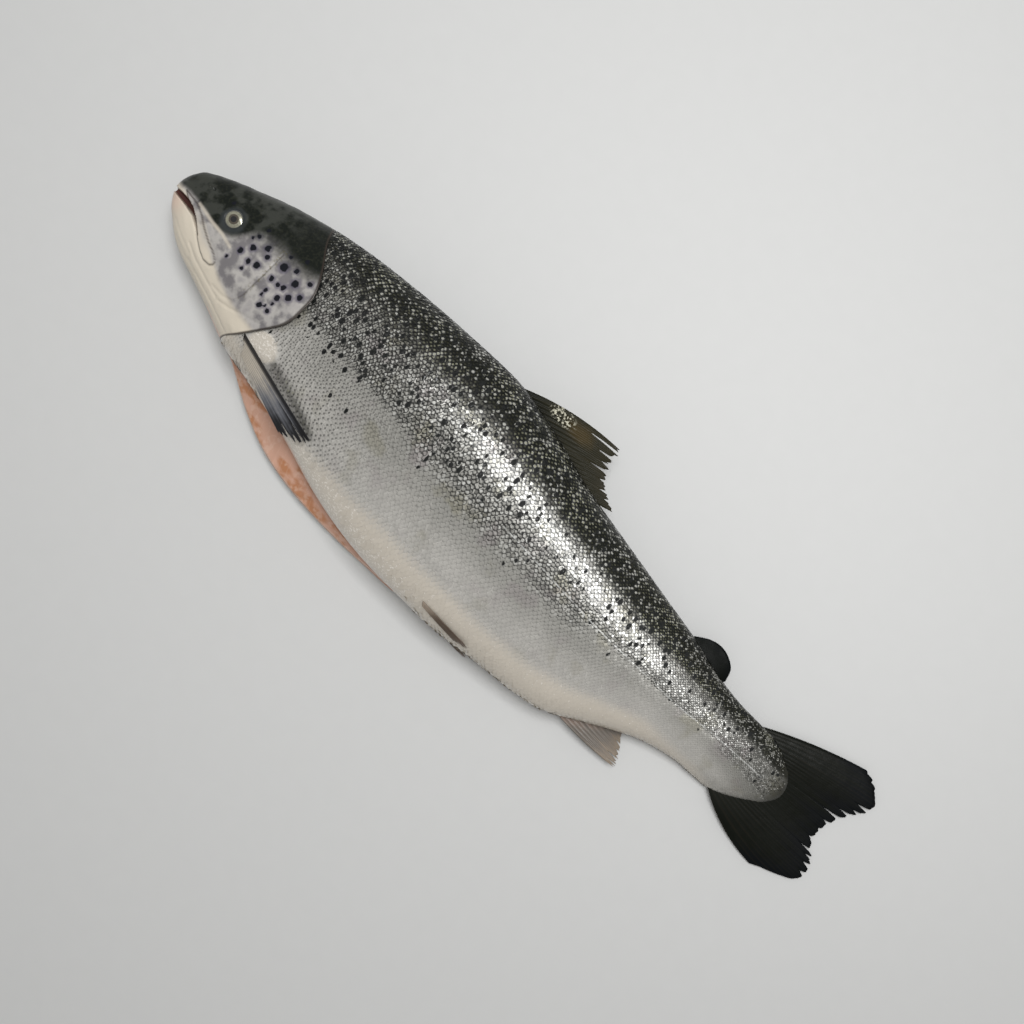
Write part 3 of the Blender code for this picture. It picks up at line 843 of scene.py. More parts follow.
@dataclass
class Surface:
    """A grid of points, with what each point carries, that becomes a closed mesh."""

    ATTRIBUTE_KINDS: ClassVar = {3: ("FLOAT_VECTOR", "vector"), 4: ("FLOAT_COLOR", "color")}

    name: str
    points: np.ndarray
    wraps: bool = True
    uv: np.ndarray | None = None
    carried: dict[str, np.ndarray] = field(default_factory=dict)
    capped: bool = True

    def quads(self) -> np.ndarray:
        """Finds the faces of the grid.

        Returns:
            The four corners of each face, as point numbers.
        """
        rows, columns = self.points.shape[:2]
        number = np.arange(rows * columns).reshape(rows, columns)
        beside = np.roll(number, -1, 1) if self.wraps else number[:, 1:]
        here = number if self.wraps else number[:, :-1]
        corners = (here[:-1], beside[:-1], beside[1:], here[1:])
        return np.stack(corners, -1).reshape(-1, 4)

    def build(self, material: bpy.types.Material | None = None) -> bpy.types.Object:
        """Makes the object.

        Args:
            material: Its finish.

        Returns:
            An object at the origin, with its doubles merged and its faces outwards.
        """
        places = to_metres(self.points).reshape(-1, 3)
        faces = self.quads()
        mesh = bpy.data.meshes.new(self.name)
        mesh.from_pydata(places.tolist(), [], faces.tolist())
        for name, values in self.carried.items():
            kind, slot = self.ATTRIBUTE_KINDS[values.shape[-1]]
            mesh.attributes.new(name, kind, "POINT").data.foreach_set(slot, values.astype(np.float32).ravel())
        if self.uv is not None:
            near, far = self.uv[:-1], self.uv[1:]
            corners = (near[:, :-1], near[:, 1:], far[:, 1:], far[:, :-1])
            flat = np.stack(corners, 2).astype(np.float32).ravel()
            mesh.uv_layers.new(name="skin").data.foreach_set("uv", flat)
        self.tidy(mesh)
        made = bpy.data.objects.new(self.name, mesh)
        bpy.context.scene.collection.objects.link(made)
        if material:
            mesh.materials.append(material)
        mesh.shade_smooth()
        return made

    def tidy(self, mesh: bpy.types.Mesh) -> None:
        """Merges doubles, closes the ends and turns the faces outwards.

        Args:
            mesh: The mesh to change.
        """
        work = bmesh.new()
        work.from_mesh(mesh)
        bmesh.ops.remove_doubles(work, verts=work.verts, dist=MERGE_DISTANCE)
        if self.capped:
            open_edges = [edge for edge in work.edges if edge.is_boundary]
            if open_edges:
                filled = bmesh.ops.holes_fill(work, edges=open_edges)
                bmesh.ops.triangulate(work, faces=filled["faces"])
            if work.calc_volume(signed=True) < 0:
                bmesh.ops.reverse_faces(work, faces=work.faces)
        work.to_mesh(mesh)
        work.free()


@dataclass(frozen=True)
class BodyForm:
    """The body's form, as rings round its long axis.

    Each ring starts at the upper edge of the belly cut, goes over the left flank, the back and the right
    flank to the lower flap's rim, and ends in the cut.
    """

    back: Line = Line((
        (0, 14), (22, 26.5), (54, 40), (86, 51.5), (135, 63.5), (200, 72), (257, 76), (300, 77.5),
        (345, 71.5), (409, 56), (458, 48), (524, 37.5), (553, 33), (600, 23.5), (632, 21), (660, 21),
        (704, 6),
    ))  # fmt: skip
    belly: Line = Line((
        (0, -15.5), (12, -24), (26, -35), (38, -41.5), (54, -47), (86, -58), (118, -70), (150, -76),
        (200, -86.5), (257, -102.5), (300, -110), (345, -112.5), (390, -112), (441, -106.5), (491, -101),
        (508, -97), (541, -79.5), (583, -58.5), (617, -50), (638, -48.5), (660, -46), (704, -24),
    ))  # fmt: skip
    crest: Line = Line((
        (0, -2), (60, 0), (135, -3), (250, -8), (377, -13), (500, -16), (600, -14), (704, -9),
    ))  # fmt: skip
    mid_plane: Line = Line((
        (0, 33), (54, 33), (119, 34.5), (200, 37.5), (290, 39), (377, 37.5), (458, 32), (540, 23),
        (600, 16.5), (640, 12), (690, 5.5), (704, 4.5),
    ))  # fmt: skip
    half_thickness: Line = Line((
        (0, 9.5), (22, 17), (54, 25), (86, 31), (119, 36), (150, 39.5), (200, 43), (260, 46), (330, 46),
        (400, 43), (460, 37), (520, 29.5), (570, 22.5), (610, 17), (640, 13.5), (670, 9.5), (704, 3.5),
    ))  # fmt: skip
    lowest: Line = Line((
        (0, 24), (22, 18.5), (54, 12), (86, 6), (119, 0.5), (150, -3), (250, -5), (400, -5), (540, -4),
        (640, -2.5), (704, 1),
    ))  # fmt: skip
    flap: Line = Line((
        (90, -58.8), (129, -78.5), (162, -96.5), (196, -109.8), (245, -117.8), (290, -119), (327, -117.3),
        (362, -112.3),
    ))  # fmt: skip
    gill_edge: Line = Line((
        (-80, 103), (-60, 120), (-50, 129.5), (-34, 143.5), (-22, 152.2), (-10, 155.2), (4, 155), (14, 152),
        (26, 144.5), (42, 131), (60, 118.5), (80, 106),
    ))  # fmt: skip
    snout_rounding: float = 12.0
    snout_tip_y: float = -3.0
    tail_end: float = 704.0
    tail_rounding: float = 12.0
    keel_drop: float = 5.0
    back_fullness: float = 2.2
    belly_fullness: float = 2.1
    cut_opens: tuple[float, float] = (90.0, 128.0)
    cut_closes: tuple[float, float] = (318.0, 360.0)
    least_opening: float = 0.06
    cut_depth: float = 18.0
    upper_lip: float = 3.2
    rim_height: float = 12.0
    rim_width: float = 2.5
    bed: tuple[float, float] = (13.2, 21.0)
    bed_step: float = 4.0
    bed_dip: float = 1.0
    ceiling: float = 27.5
    lip_overhang: float = 0.8
    gill_station: float = 155.0
    bend_from: float = 58.0
    bend_to: float = 250.0
    raise_from: float = 108.0
    gill_raise: float = 1.8
    groove_depth: float = 1.8
    groove_width: float = 13.0
    fade_back: tuple[float, float] = (36.0, 50.0)
    fade_belly: tuple[float, float] = (-64.0, -50.0)
    quarter_steps: int = 60
    cut_roundings: int = 2

    @property
    def outer_count(self) -> int:
        """How many points of each ring lie on the outside."""
        return 4 * self.quarter_steps + 1

    def opening(self, x: np.ndarray) -> np.ndarray:
        """How far the belly cut is open, from 0 to 1."""
        share = ramp(*self.cut_opens, x) * (1 - ramp(*self.cut_closes, x))
        return np.where(share < self.least_opening, 0, share)

    def cut_path(self, x: np.ndarray, share: np.ndarray) -> tuple:
        """Corners of the cut from the lower flap's rim inwards and out to the upper flap's edge.

        Args:
            x: Places along the fish.
            share: How far the cut is open there.

        Returns:
            Seven pairs (y, z).
        """
        mid, belly = self.mid_plane.at(x), self.belly.at(x)
        keel = mid - self.keel_drop
        flap = np.where(share > 0, np.minimum(self.flap.at(x), belly), belly)
        bed_outer, bed_inner = self.bed
        bed_y = np.maximum((flap + belly) / 2, flap + self.rim_width + self.bed_step)
        bed_z = (bed_outer + bed_inner) / 2 - self.bed_dip

        def between(y: np.ndarray, z: np.ndarray) -> tuple[np.ndarray, np.ndarray]:
            """A corner that closes onto the belly with the cut."""
            return belly + (y - belly) * share, keel + (z - keel) * share

        return (
            (flap, keel + (self.rim_height - keel) * share),
            between(flap + self.rim_width, bed_outer),
            between(bed_y, bed_z),
            between(belly + self.cut_depth, bed_inner),
            between(belly + self.cut_depth, self.ceiling),
            between(belly + self.lip_overhang, keel - self.upper_lip),
            (belly, keel),
        )

    def cut_weights(self) -> np.ndarray:
        """Works out how the corners of the cut are rounded.

        Returns:
            The weight of each corner, one row for each point inside the cut.
        """
        weights = np.eye(7)
        for _ in range(self.cut_roundings):
            near = 0.75 * weights[:-1] + 0.25 * weights[1:]
            far = 0.25 * weights[:-1] + 0.75 * weights[1:]
            between = np.stack([near, far], 1).reshape(-1, 7)
            weights = np.concatenate([weights[:1], between, weights[-1:]])
        return weights[1:-1]

    def section(self, x: np.ndarray, share: np.ndarray) -> tuple[np.ndarray, np.ndarray]:
        """Points of the sections.

        Args:
            x: Place along the fish of each ring point, one row for each ring.
            share: How far the cut is open, one row for each ring.

        Returns:
            The y and the z of each ring point.
        """
        count = self.outer_count
        angle = np.linspace(0, math.pi / 2, self.quarter_steps + 1)
        back_c, back_s = (np.abs(f(angle)) ** (2 / self.back_fullness) for f in (np.cos, np.sin))
        belly_c, belly_s = (np.abs(f(angle)) ** (2 / self.belly_fullness) for f in (np.cos, np.sin))
        back_c[-1] = belly_c[-1] = 0
        c = np.concatenate([belly_c, back_c[::-1][1:], back_c[1:-1], belly_c[::-1]])
        s = np.concatenate([belly_s, back_s[::-1][1:], back_s[1:-1], belly_s[::-1]])
        n = self.quarter_steps
        on_back = np.repeat([False, True, False], [n + 1, 2 * n - 1, n + 1])
        on_left = np.arange(count) <= 2 * n
        outer, inner = x[:, :count], x[:, count:]
        mid, crest = self.mid_plane.at(outer), self.crest.at(outer)
        extreme = np.where(on_left, mid + self.half_thickness.at(outer), self.lowest.at(outer))
        corners = self.cut_path(outer, share)
        edge_y = np.where(on_back, self.back.at(outer), np.where(on_left, corners[-1][0], corners[0][0]))
        edge_z = np.where(on_back, mid, np.where(on_left, corners[-1][1], corners[0][1]))
        y = crest + (edge_y - crest) * c
        z = edge_z + (extreme - edge_z) * s
        weights = self.cut_weights()
        inside = np.array(self.cut_path(inner, share))
        cut_y, cut_z = (np.einsum("kri,ik->ri", inside[:, axis], weights) for axis in (0, 1))
        return np.concatenate([y, cut_y], 1), np.concatenate([z, cut_z], 1)

    def bent(self, station: np.ndarray, share: np.ndarray) -> np.ndarray:
        """Bends the sections to follow the gill cover's edge.

        Args:
            station: The station of each ring point.
            share: How far the cut is open, one row for each ring.

        Returns:
            The x of each ring point.
        """
        bend = ramp(self.bend_from, self.gill_station, station)
        bend = bend * (1 - ramp(self.gill_station, self.bend_to, station))
        x = station
        for _ in range(5):
            y, _ = self.section(x, share)
            x = station + bend * (self.gill_edge.at(y) - self.gill_station)
        return x

    def gill_fade(self, y: np.ndarray) -> np.ndarray:
        """Share of the gill cover's relief, which fades towards back and belly."""
        return ramp(*self.fade_belly, y) * (1 - ramp(*self.fade_back, y))

    def head_relief(self, station: np.ndarray, y: np.ndarray) -> np.ndarray:
        """How far the gill cover stands out."""
        return self.gill_raise * ramp(self.raise_from, self.gill_station, station) * self.gill_fade(y)

    def body_relief(self, station: np.ndarray, y: np.ndarray) -> np.ndarray:
        """How far the skin sinks in the groove behind the gill cover, as a negative height."""
        behind = np.clip((station - self.gill_station) / self.groove_width, 0, 1)
        return -self.groove_depth * (1 - ramp(0, 1, behind)) * self.gill_fade(y)

    def rings(self, stations: np.ndarray, relief: np.ndarray | None = None, head: bool = False) -> np.ndarray:
        """Points of the body.

        Args:
            stations: One for each ring.
            relief: How much further out each ring lies.
            head: Whether the gill cover's relief or the groove's holds.

        Returns:
            Array of rings, ring points and (x, y, z).
        """
        columns = self.outer_count + len(self.cut_weights())
        station = np.repeat(np.asarray(stations, float)[:, None], columns, 1)
        shut = np.zeros((len(station), 1))
        share = self.opening(self.bent(station, shut)[:, :1])
        x = self.bent(station, share)
        y, z = self.section(x, share)
        crest, mid = self.crest.at(x), self.mid_plane.at(x)
        out = self.head_relief(station, y) if head else self.body_relief(station, y)
        if relief is not None:
            out = out + np.asarray(relief)[:, None]
        grow = 1 + out / np.maximum(np.hypot(y - crest, z - mid), 1.0)
        grow[:, self.outer_count :] = grow[:, :1]
        y, z = crest + (y - crest) * grow, mid + (z - mid) * grow
        nose = np.sqrt(1 - (1 - np.clip(x / self.snout_rounding, 0, 1)) ** 2)
        past = np.clip((x - self.tail_end + self.tail_rounding) / self.tail_rounding, 0, 1)
        end = np.sqrt(1 - past**2)
        y = self.snout_tip_y + (y - self.snout_tip_y) * nose
        y = crest + (y - crest) * end
        z = mid + (z - mid) * nose * end
        return np.stack([x, y, np.maximum(z, 0)], 2)

    def round_share(self, points: np.ndarray) -> np.ndarray:
        """How far round its ring each point lies.

        Args:
            points: Rings of points.

        Returns:
            0 at the upper flap's edge, 0.5 at the ridge of the back, 1 at the lower rim and more in the cut.
        """
        step = np.linalg.norm(np.diff(points, axis=1, append=points[:, :1]), axis=2)
        length = np.concatenate([np.zeros((len(points), 1)), np.cumsum(step, 1)], 1)
        ridge, rim = 2 * self.quarter_steps, self.outer_count - 1
        left = length / np.maximum(length[:, ridge : ridge + 1], 0.01) * 0.5
        past = length - length[:, ridge : ridge + 1]
        right = 0.5 + past / np.maximum(past[:, rim : rim + 1], 0.01) * 0.5
        share = np.where(np.arange(length.shape[1]) <= ridge, left, right)
        in_cut = np.arange(length.shape[1]) > rim
        return np.where(in_cut, 1.05 + 0.3 * (length - length[:, rim : rim + 1]) / length[:, -1:], share)


@dataclass(frozen=True)
class FlankZones:
    """Where the back is dark, the belly cream and the spots thick, as lines on the fish's side, with a
    painted shadow above the pectoral fin and a paler lower flank that is partly painted bounce light.
    """

    dark_edge: Line = Line((
        (110, 32), (144, 31), (185, 32), (224, 35), (301, 36), (377, 28), (415, 22), (454, 17), (494, 13),
        (535, 10), (578, 8), (621, 6), (650, 4), (704, 1),
    ))  # fmt: skip
    cream_edge: Line = Line((
        (100, -40), (130, -50), (182, -66), (262, -73), (339, -75), (416, -74), (455, -72), (495, -64),
        (535, -50), (578, -37), (621, -38), (704, -54),
    ))  # fmt: skip
    # How much paler the lower flank is along the fish: partly its own colour, partly painted bounce light.
    flank_paling_and_bounce: Line = Line((
        (150, 0.6), (230, 0.3), (300, 0.1), (450, 0.05), (520, 0.35), (595, 0.5), (635, 0.1), (704, 0),
    ))  # fmt: skip
    dark_softness: Line = Line(((120, 30), (250, 30), (320, 22), (377, 12), (450, 8), (560, 7), (704, 7)))
    spot_edge: Line = Line(((120, -12), (200, -16), (300, -12), (380, -8), (460, -8), (560, -9), (704, -6)))
    crowding: Line = Line((
        (120, 0.95), (200, 1.0), (330, 0.9), (450, 0.8), (560, 0.9), (650, 0.75), (704, 0.2),
    ))  # fmt: skip
    lateral_line: Line = Line((
        (156, -2), (194, -4.6), (241, -7.6), (286, -9.8), (339, -10.6), (377, -12.1), (415, -13.7),
        (454, -15.8), (494, -17.1), (535, -16.6), (577, -16), (620, -12.1), (664, -9.8), (704, -9),
    ))  # fmt: skip
    bare_patch: tuple[float, float, float, float] = (150.0, -46.0, 17.0, 13.0)
    # painted shadow: a dark band along the pectoral fin's upper edge, added to the dark back; it lies on both
    # flanks alike
    painted_fin_shadow: Points = ((164, -50), (184, -54), (205, -61), (222, -68))
    painted_fin_shadow_reach: float = 5.0
    painted_fin_shadow_share: float = 0.6
    scaled_end: Line = Line((
        (-60, 655), (-48, 669), (-39, 682), (-33, 692), (0, 697), (8, 693), (17, 686), (32, 665),
    ))  # fmt: skip

    def colours(self, points: np.ndarray, in_cut: np.ndarray | float) -> np.ndarray:
        """What the finishes need to know of each point.

        Args:
            points: Points in the fish's frame.
            in_cut: 1 on the walls of the belly cut.

        Returns:
            Four numbers a point: dark back with the painted shadow above the pectoral fin, cream belly with
                the partly painted bounce light of the lower flank, crowding of the spots and cut.
        """
        x, y = points[..., 0], points[..., 1]
        soft = self.dark_softness.at(x)
        dark = ramp(-1, 1, (y - self.dark_edge.at(x)) / soft)
        near_end = x - self.scaled_end.at(y)
        dark = np.maximum(dark, 0.38 * ramp(-75, -10, near_end) + 0.4 * ramp(-20, 8, near_end))
        # painted shadow above the pectoral fin
        fin_shadowed = np.exp(-((path_distance(x, y, self.painted_fin_shadow) / self.painted_fin_shadow_reach) ** 2))
        dark = np.maximum(dark, self.painted_fin_shadow_share * fin_shadowed)
        over = y - self.cream_edge.at(x)
        depth = np.maximum(self.lateral_line.at(x) - self.cream_edge.at(x), 1)
        under = np.clip((self.lateral_line.at(x) - y) / depth, 0, 1)
        # paler lower flank, partly painted bounce light
        light = self.flank_paling_and_bounce.at(x) * ramp(0, 0.1, under)
        cream = np.maximum(0.5 * (light + (1 - light) * ramp(0.1, 1.0, under)), 1 - ramp(-18, 20, over))
        cream = np.maximum(cream, 0.9 * self.bareness(x, y))
        above = y - self.spot_edge.at(x)
        crowd = self.crowding.at(x) * (0.15 * ramp(-34, -8, above) + 0.85 * ramp(-10, 12, above))
        return np.stack([dark, cream, crowd, np.broadcast_to(in_cut, x.shape)], -1)

    def cover(self, points: np.ndarray) -> np.ndarray:
        """Share of the scales that are there: none on the belly's edge or on the tail fin.

        Args:
            points: Points in the fish's frame.

        Returns:
            Shares from 0 to 1.
        """
        x, y = points[..., 0], points[..., 1]
        lower = 20 * ramp(320, 400, x) - 11 * ramp(150, 180, x) * (1 - ramp(240, 310, x))
        belly = ramp(-30, -8, y - self.cream_edge.at(x) + lower)
        kept = np.maximum(belly, ramp(560, 600, x)) * (1 - ramp(-24, 5, x - self.scaled_end.at(y)))
        return kept * (1 - self.bareness(x, y))

    def bareness(self, x: np.ndarray, y: np.ndarray) -> np.ndarray:
        """How far each place lies in the bare patch behind the gill cover, from 0 to 1."""
        px, py, rx, ry = self.bare_patch
        return 1 - ramp(0.7, 1.2, np.hypot((x - px) / rx, (y - py) / ry))


@dataclass
class BodySkin:
    """The body's skin from under the gill cover to the tail, with the walls of the belly cut."""

    form: BodyForm
    zones: FlankZones
    finish: SkinFinish
    first_station: float = 141.0
    under_gill: float = 0.75
    step: float = 3.0
    close_step: float = 1.2
    rim_columns: int = 6
    rim_mark: float = 0.35

    def stations(self) -> np.ndarray:
        """Spaces the rings: close at the gill cover and at the rounded end.

        Returns:
            Their stations.
        """
        form = self.form
        near = np.arange(self.first_station, form.gill_station + form.groove_width, self.close_step)
        far = np.arange(near[-1] + self.step, form.tail_end - form.tail_rounding, self.step)
        turn = np.linspace(0, math.pi / 2, 9)
        end = form.tail_end - form.tail_rounding * (1 - np.sin(turn))
        return np.concatenate([near, far, end])

    def build(self) -> bpy.types.Object:
        """Makes the body's skin.

        Returns:
            The object, in its finish.
        """
        stations = self.stations()
        gill = self.form.gill_station
        under = -self.under_gill * (1 - ramp(gill - 4, gill + 4, stations))
        points = self.form.rings(stations, under)
        column = np.arange(points.shape[1])
        beside = (column < self.rim_columns) | (np.abs(column - self.form.outer_count + 1.5) < 1)
        in_cut = np.where(column >= self.form.outer_count, 1.0, self.rim_mark * beside)
        opened = self.form.opening(points[..., 0]) > 0
        share = self.form.round_share(points)
        along = np.repeat((stations / self.form.tail_end)[:, None], share.shape[1], 1)
        surface = Surface(
            "body_skin", points,
            uv=np.stack([along, share / 1.4], -1),
            carried={"zones": self.zones.colours(points, in_cut * opened)},
        )  # fmt: skip
        return surface.build(self.finish.material())


@dataclass
class ScaleCoat:
    """The overlapping scales of one flank, in staggered rows from the gill cover to the tail."""

    side: Side
    form: BodyForm
    zones: FlankZones
    material: bpy.types.Material
    pitch: Line = Line((
        (120, 3.0), (200, 3.2), (260, 3.9), (330, 4.3), (450, 4.1), (560, 3.1), (640, 2.5), (704, 2.2),
    ))  # fmt: skip
    rows: int = 74
    crowded_back: float = 1.25
    first_station: float = 155.8
    last_station: float = 702.0
    blade_front: float = -0.6
    blade_rear: float = 0.64
    blade_half_width: float = 1.06
    blade_rise: tuple[float, float] = (-0.3, 0.3)
    blade_dome: float = 0.13
    blade_top: float = 0.1
    rear_points: int = 6
    lean: float = 2.6
    scatter: float = 0.2
    least_height: float = 0.02
    seed: int = 11

    @property
    def flank_name(self) -> str:
        """The flank's name in plain words."""
        return self.side.name.lower()

    def blade(self) -> bpy.types.Object:
        """Makes one scale, one pitch long and one row wide: a thin lens with a round rear edge.

        Returns:
            The scale, whose UV map runs from 0 to 1 along and across it.
        """
        theta = np.linspace(-math.pi / 2, math.pi / 2, self.rear_points)
        rear_x = self.blade_rear * np.cos(theta) * 1.06 - 0.04
        rear_y = self.blade_half_width * np.sin(theta)
        rim = [(float(x), float(y)) for x, y in zip(rear_x, rear_y)]
        rim += [(self.blade_front, 0.5), (self.blade_front, -0.5)]
        length = self.blade_rear - self.blade_front
        low, high = self.blade_rise
        work = bmesh.new()
        uv = work.loops.layers.uv.new("blade")

        def height(x: float) -> float:
            """Height of the blade's underside above the skin."""
            return low + (high - low) * (x - self.blade_front) / length

        ring = [work.verts.new((x, y, height(x))) for x, y in rim]
        top = work.verts.new((self.blade_top, 0, height(self.blade_top) + self.blade_dome))
        for i, vert in enumerate(ring):
            work.faces.new((vert, ring[(i + 1) % len(ring)], top)).smooth = True
        work.faces.new(ring[::-1])
        for edge in work.edges:
            edge.smooth = edge.verts[0] is top or edge.verts[1] is top
        for face in work.faces:
            for loop in face.loops:
                x, y, _ = loop.vert.co
                loop[uv].uv = ((x - self.blade_front) / length, y / 2 / self.blade_half_width + 0.5)
        mesh = bpy.data.meshes.new("scale_blade")
        work.to_mesh(mesh)
        work.free()
        blade = bpy.data.objects.new("scale_blade", mesh)
        bpy.context.scene.collection.objects.link(blade)
        return blade

    def flank(self) -> tuple[bpy.types.Object, int]:
        """The flank that the scales follow.

        Returns:
            The flank's surface, whose UV map runs from 0 to 1 both ways and whose points carry the length
            of a scale and of a row there, and how many scales a row has.
        """
        form = self.form
        fine = np.linspace(self.first_station, self.last_station, 400)
        count = np.concatenate([[0], np.cumsum(np.diff(fine) / self.pitch.at((fine[1:] + fine[:-1]) / 2))])
        columns = round(count[-1])
        stations = np.interp(np.linspace(0, count[-1], columns + 1), count, fine)
        ring = form.rings(stations)
        half = slice(0, 2 * form.quarter_steps + 1)
        if self.side is Side.RIGHT:
            half = slice(2 * form.quarter_steps, form.outer_count)
        share = form.round_share(ring)[:, half]
        points = ring[:, half]
        v = (share - share[:, :1]) / (share[:, -1:] - share[:, :1])
        v = v**self.crowded_back if self.side is Side.LEFT else 1 - (1 - v) ** self.crowded_back
        u = np.repeat(np.linspace(0, 1, columns + 1)[:, None], v.shape[1], 1)
        along = np.gradient(points, axis=0)
        across = np.gradient(points, axis=1) / np.gradient(v, axis=1)[..., None] / self.rows
        zones = self.zones.colours(points, 0.0)
        zones[..., 3] = self.zones.cover(points)
        carried = {"along": along * MM, "across": across * MM, "zones": zones}
        name, uv = f"scales_{self.flank_name}", np.stack([u, v], -1)
        return Surface(name, points, False, uv, carried, capped=False).build(), columns

    def tree(self) -> bpy.types.NodeTree:
        """Builds the node tree that lays the scales.

        Returns:
            The tree, with named inputs for its sizes.
        """
        tree = bpy.data.node_groups.new(f"lay_scales_{self.flank_name}", "GeometryNodeTree")
        kinds = {
            "Geometry": "Geometry", "Blade": "Object", "Columns": "Int", "Rows": "Int", "Lean": "Float",
            "Scatter": "Float", "Seed": "Int", "Material": "Material",
        }  # fmt: skip
        for name, kind in kinds.items():
            tree.interface.new_socket(name, in_out="INPUT", socket_type=f"NodeSocket{kind}")
        tree.interface.new_socket("Geometry", in_out="OUTPUT", socket_type="NodeSocketGeometry")
        graph = Graph(tree)
        group = tree.nodes.new("NodeGroupInput")
        given = {name: Wire(graph, group.outputs[name]) for name in kinds}

        def dice(spread: Value, offset: int) -> Wire:
            """A random number of each scale, within spread to either side of zero."""
            inputs = {2: -1.0, 3: 1.0, "Seed": given["Seed"] + offset}
            return graph.node("FunctionNodeRandomValue", inputs, 1, data_type="FLOAT") * spread

        number = graph.node("GeometryNodeInputIndex")
        column = graph.maths("FLOORED_MODULO", number, given["Columns"])
        row = graph.maths("FLOOR", number / given["Columns"])
        stagger = graph.maths("FLOORED_MODULO", row, 2.0) * 0.5
        u = (column + stagger + 0.25 + dice(given["Scatter"], 1)) / given["Columns"]
        v = (row + 0.5 + dice(given["Scatter"], 2)) / given["Rows"]
        spot = graph.node("ShaderNodeCombineXYZ", {0: u, 1: v})

        def named(name: str, kind: str) -> Wire:
            """An attribute of the flank."""
            return graph.node("GeometryNodeInputNamedAttribute", {0: name}, data_type=kind)

        uv_map = named("skin", "FLOAT_VECTOR")

        def sampled(value: Wire, kind: str = "FLOAT_VECTOR") -> Wire:
            """The flank's value where the scale lies."""
            inputs = {0: given["Geometry"], 1: value, 2: uv_map, 3: spot}
            return graph.node("GeometryNodeSampleUVSurface", inputs, data_type=kind)

        along = sampled(named("along", "FLOAT_VECTOR"))
        across = sampled(named("across", "FLOAT_VECTOR"))
        zones = sampled(named("zones", "FLOAT_COLOR"), "FLOAT_COLOR")
        place = sampled(graph.node("GeometryNodeInputPosition"))
        up = graph.vector_maths("CROSS_PRODUCT", along, across)
        axes = {"primary_axis": "X", "secondary_axis": "Z"}
        turned = graph.node("FunctionNodeAxesToRotation", {0: along, 1: up}, **axes)
        tilt = graph.node("ShaderNodeCombineXYZ", {axis: dice(given["Lean"], axis + 3) for axis in range(3)})
        tilted = graph.node("FunctionNodeEulerToRotation", {0: tilt})
        turned = graph.node("FunctionNodeRotateRotation", {0: turned, 1: tilted}, rotation_space="LOCAL")

        long, wide = graph.length(along), graph.length(across)
        thick = graph.maths("MINIMUM", long * 0.25, 0.001)
        size = graph.node("ShaderNodeCombineXYZ", {0: long, 1: wide, 2: thick})
        points = graph.node("GeometryNodePoints", {0: given["Columns"] * given["Rows"]})
        points = graph.node("GeometryNodeSetPosition", {0: points, "Position": place})
        store = {0: points, "Name": "zones", "Value": zones}
        points = graph.node("GeometryNodeStoreNamedAttribute", store, data_type="FLOAT_COLOR", domain="POINT")
        store = {0: points, "Name": "shade", "Value": dice(0.5, 6) + 0.5}
        points = graph.node("GeometryNodeStoreNamedAttribute", store, data_type="FLOAT", domain="POINT")
        cover = graph.node("FunctionNodeSeparateColor", {0: zones}, 3)
        laid = {
            "Points": points, "Selection": cover > dice(0.5, 7) + 0.5, "Rotation": turned, "Scale": size,
            "Instance": graph.node("GeometryNodeObjectInfo", {"Object": given["Blade"]}, "Geometry"),
        }  # fmt: skip
        scales = graph.node("GeometryNodeInstanceOnPoints", laid)
        scales = graph.node("GeometryNodeRealizeInstances", {0: scales})
        scales = graph.node("GeometryNodeSetMaterial", {0: scales, "Material": given["Material"]})
        graph.feed(tree.nodes.new("NodeGroupOutput").inputs[0], scales)
        return tree

    def build(self) -> bpy.types.Object:
        """Lays the scales and makes them a plain mesh.

        Returns:
            The object, whose points carry their height above the lateral line.
        """
        made, columns = self.flank()
        blade = self.blade()
        tree = self.tree()
        values = {
            "Blade": blade, "Columns": columns, "Rows": self.rows, "Lean": math.radians(self.lean),
            "Scatter": self.scatter, "Seed": self.seed, "Material": self.material,
        }  # fmt: skip
        coat = made.modifiers.new("Lay scales", "NODES")
        coat.node_group = tree
        for item in tree.interface.items_tree:
            if item.name in values:
                coat[item.identifier] = values[item.name]
        bpy.context.view_layer.update()
        seen = made.evaluated_get(bpy.context.evaluated_depsgraph_get())
        mesh = bpy.data.meshes.new_from_object(seen)
        made.modifiers.clear()
        made.data = mesh
        bpy.data.objects.remove(blade)
        places = np.empty(len(mesh.vertices) * 3, np.float32)
        mesh.vertices.foreach_get("co", places)
        places[2::3] = np.maximum(places[2::3], self.least_height * MM)
        mesh.vertices.foreach_set("co", places)
        x, y = places[0::3] / MM + MIDDLE[0], places[1::3] / MM + MIDDLE[1]
        away = (y - self.zones.lateral_line.at(x)).astype(np.float32)
        mesh.attributes.new("side_line", "FLOAT", "POINT").data.foreach_set("value", away)
        return made


@dataclass(frozen=True)
class Crease:
    """A groove along a path on the side of the head, or a ridge where its depth is negative."""

    path: Points
    depth: float
    width: float

    def relief(self, x: np.ndarray, y: np.ndarray) -> np.ndarray:
        """How far the skin stands out because of the crease."""
        return -self.depth * np.exp(-((path_distance(x, y, self.path) / self.width) ** 2))


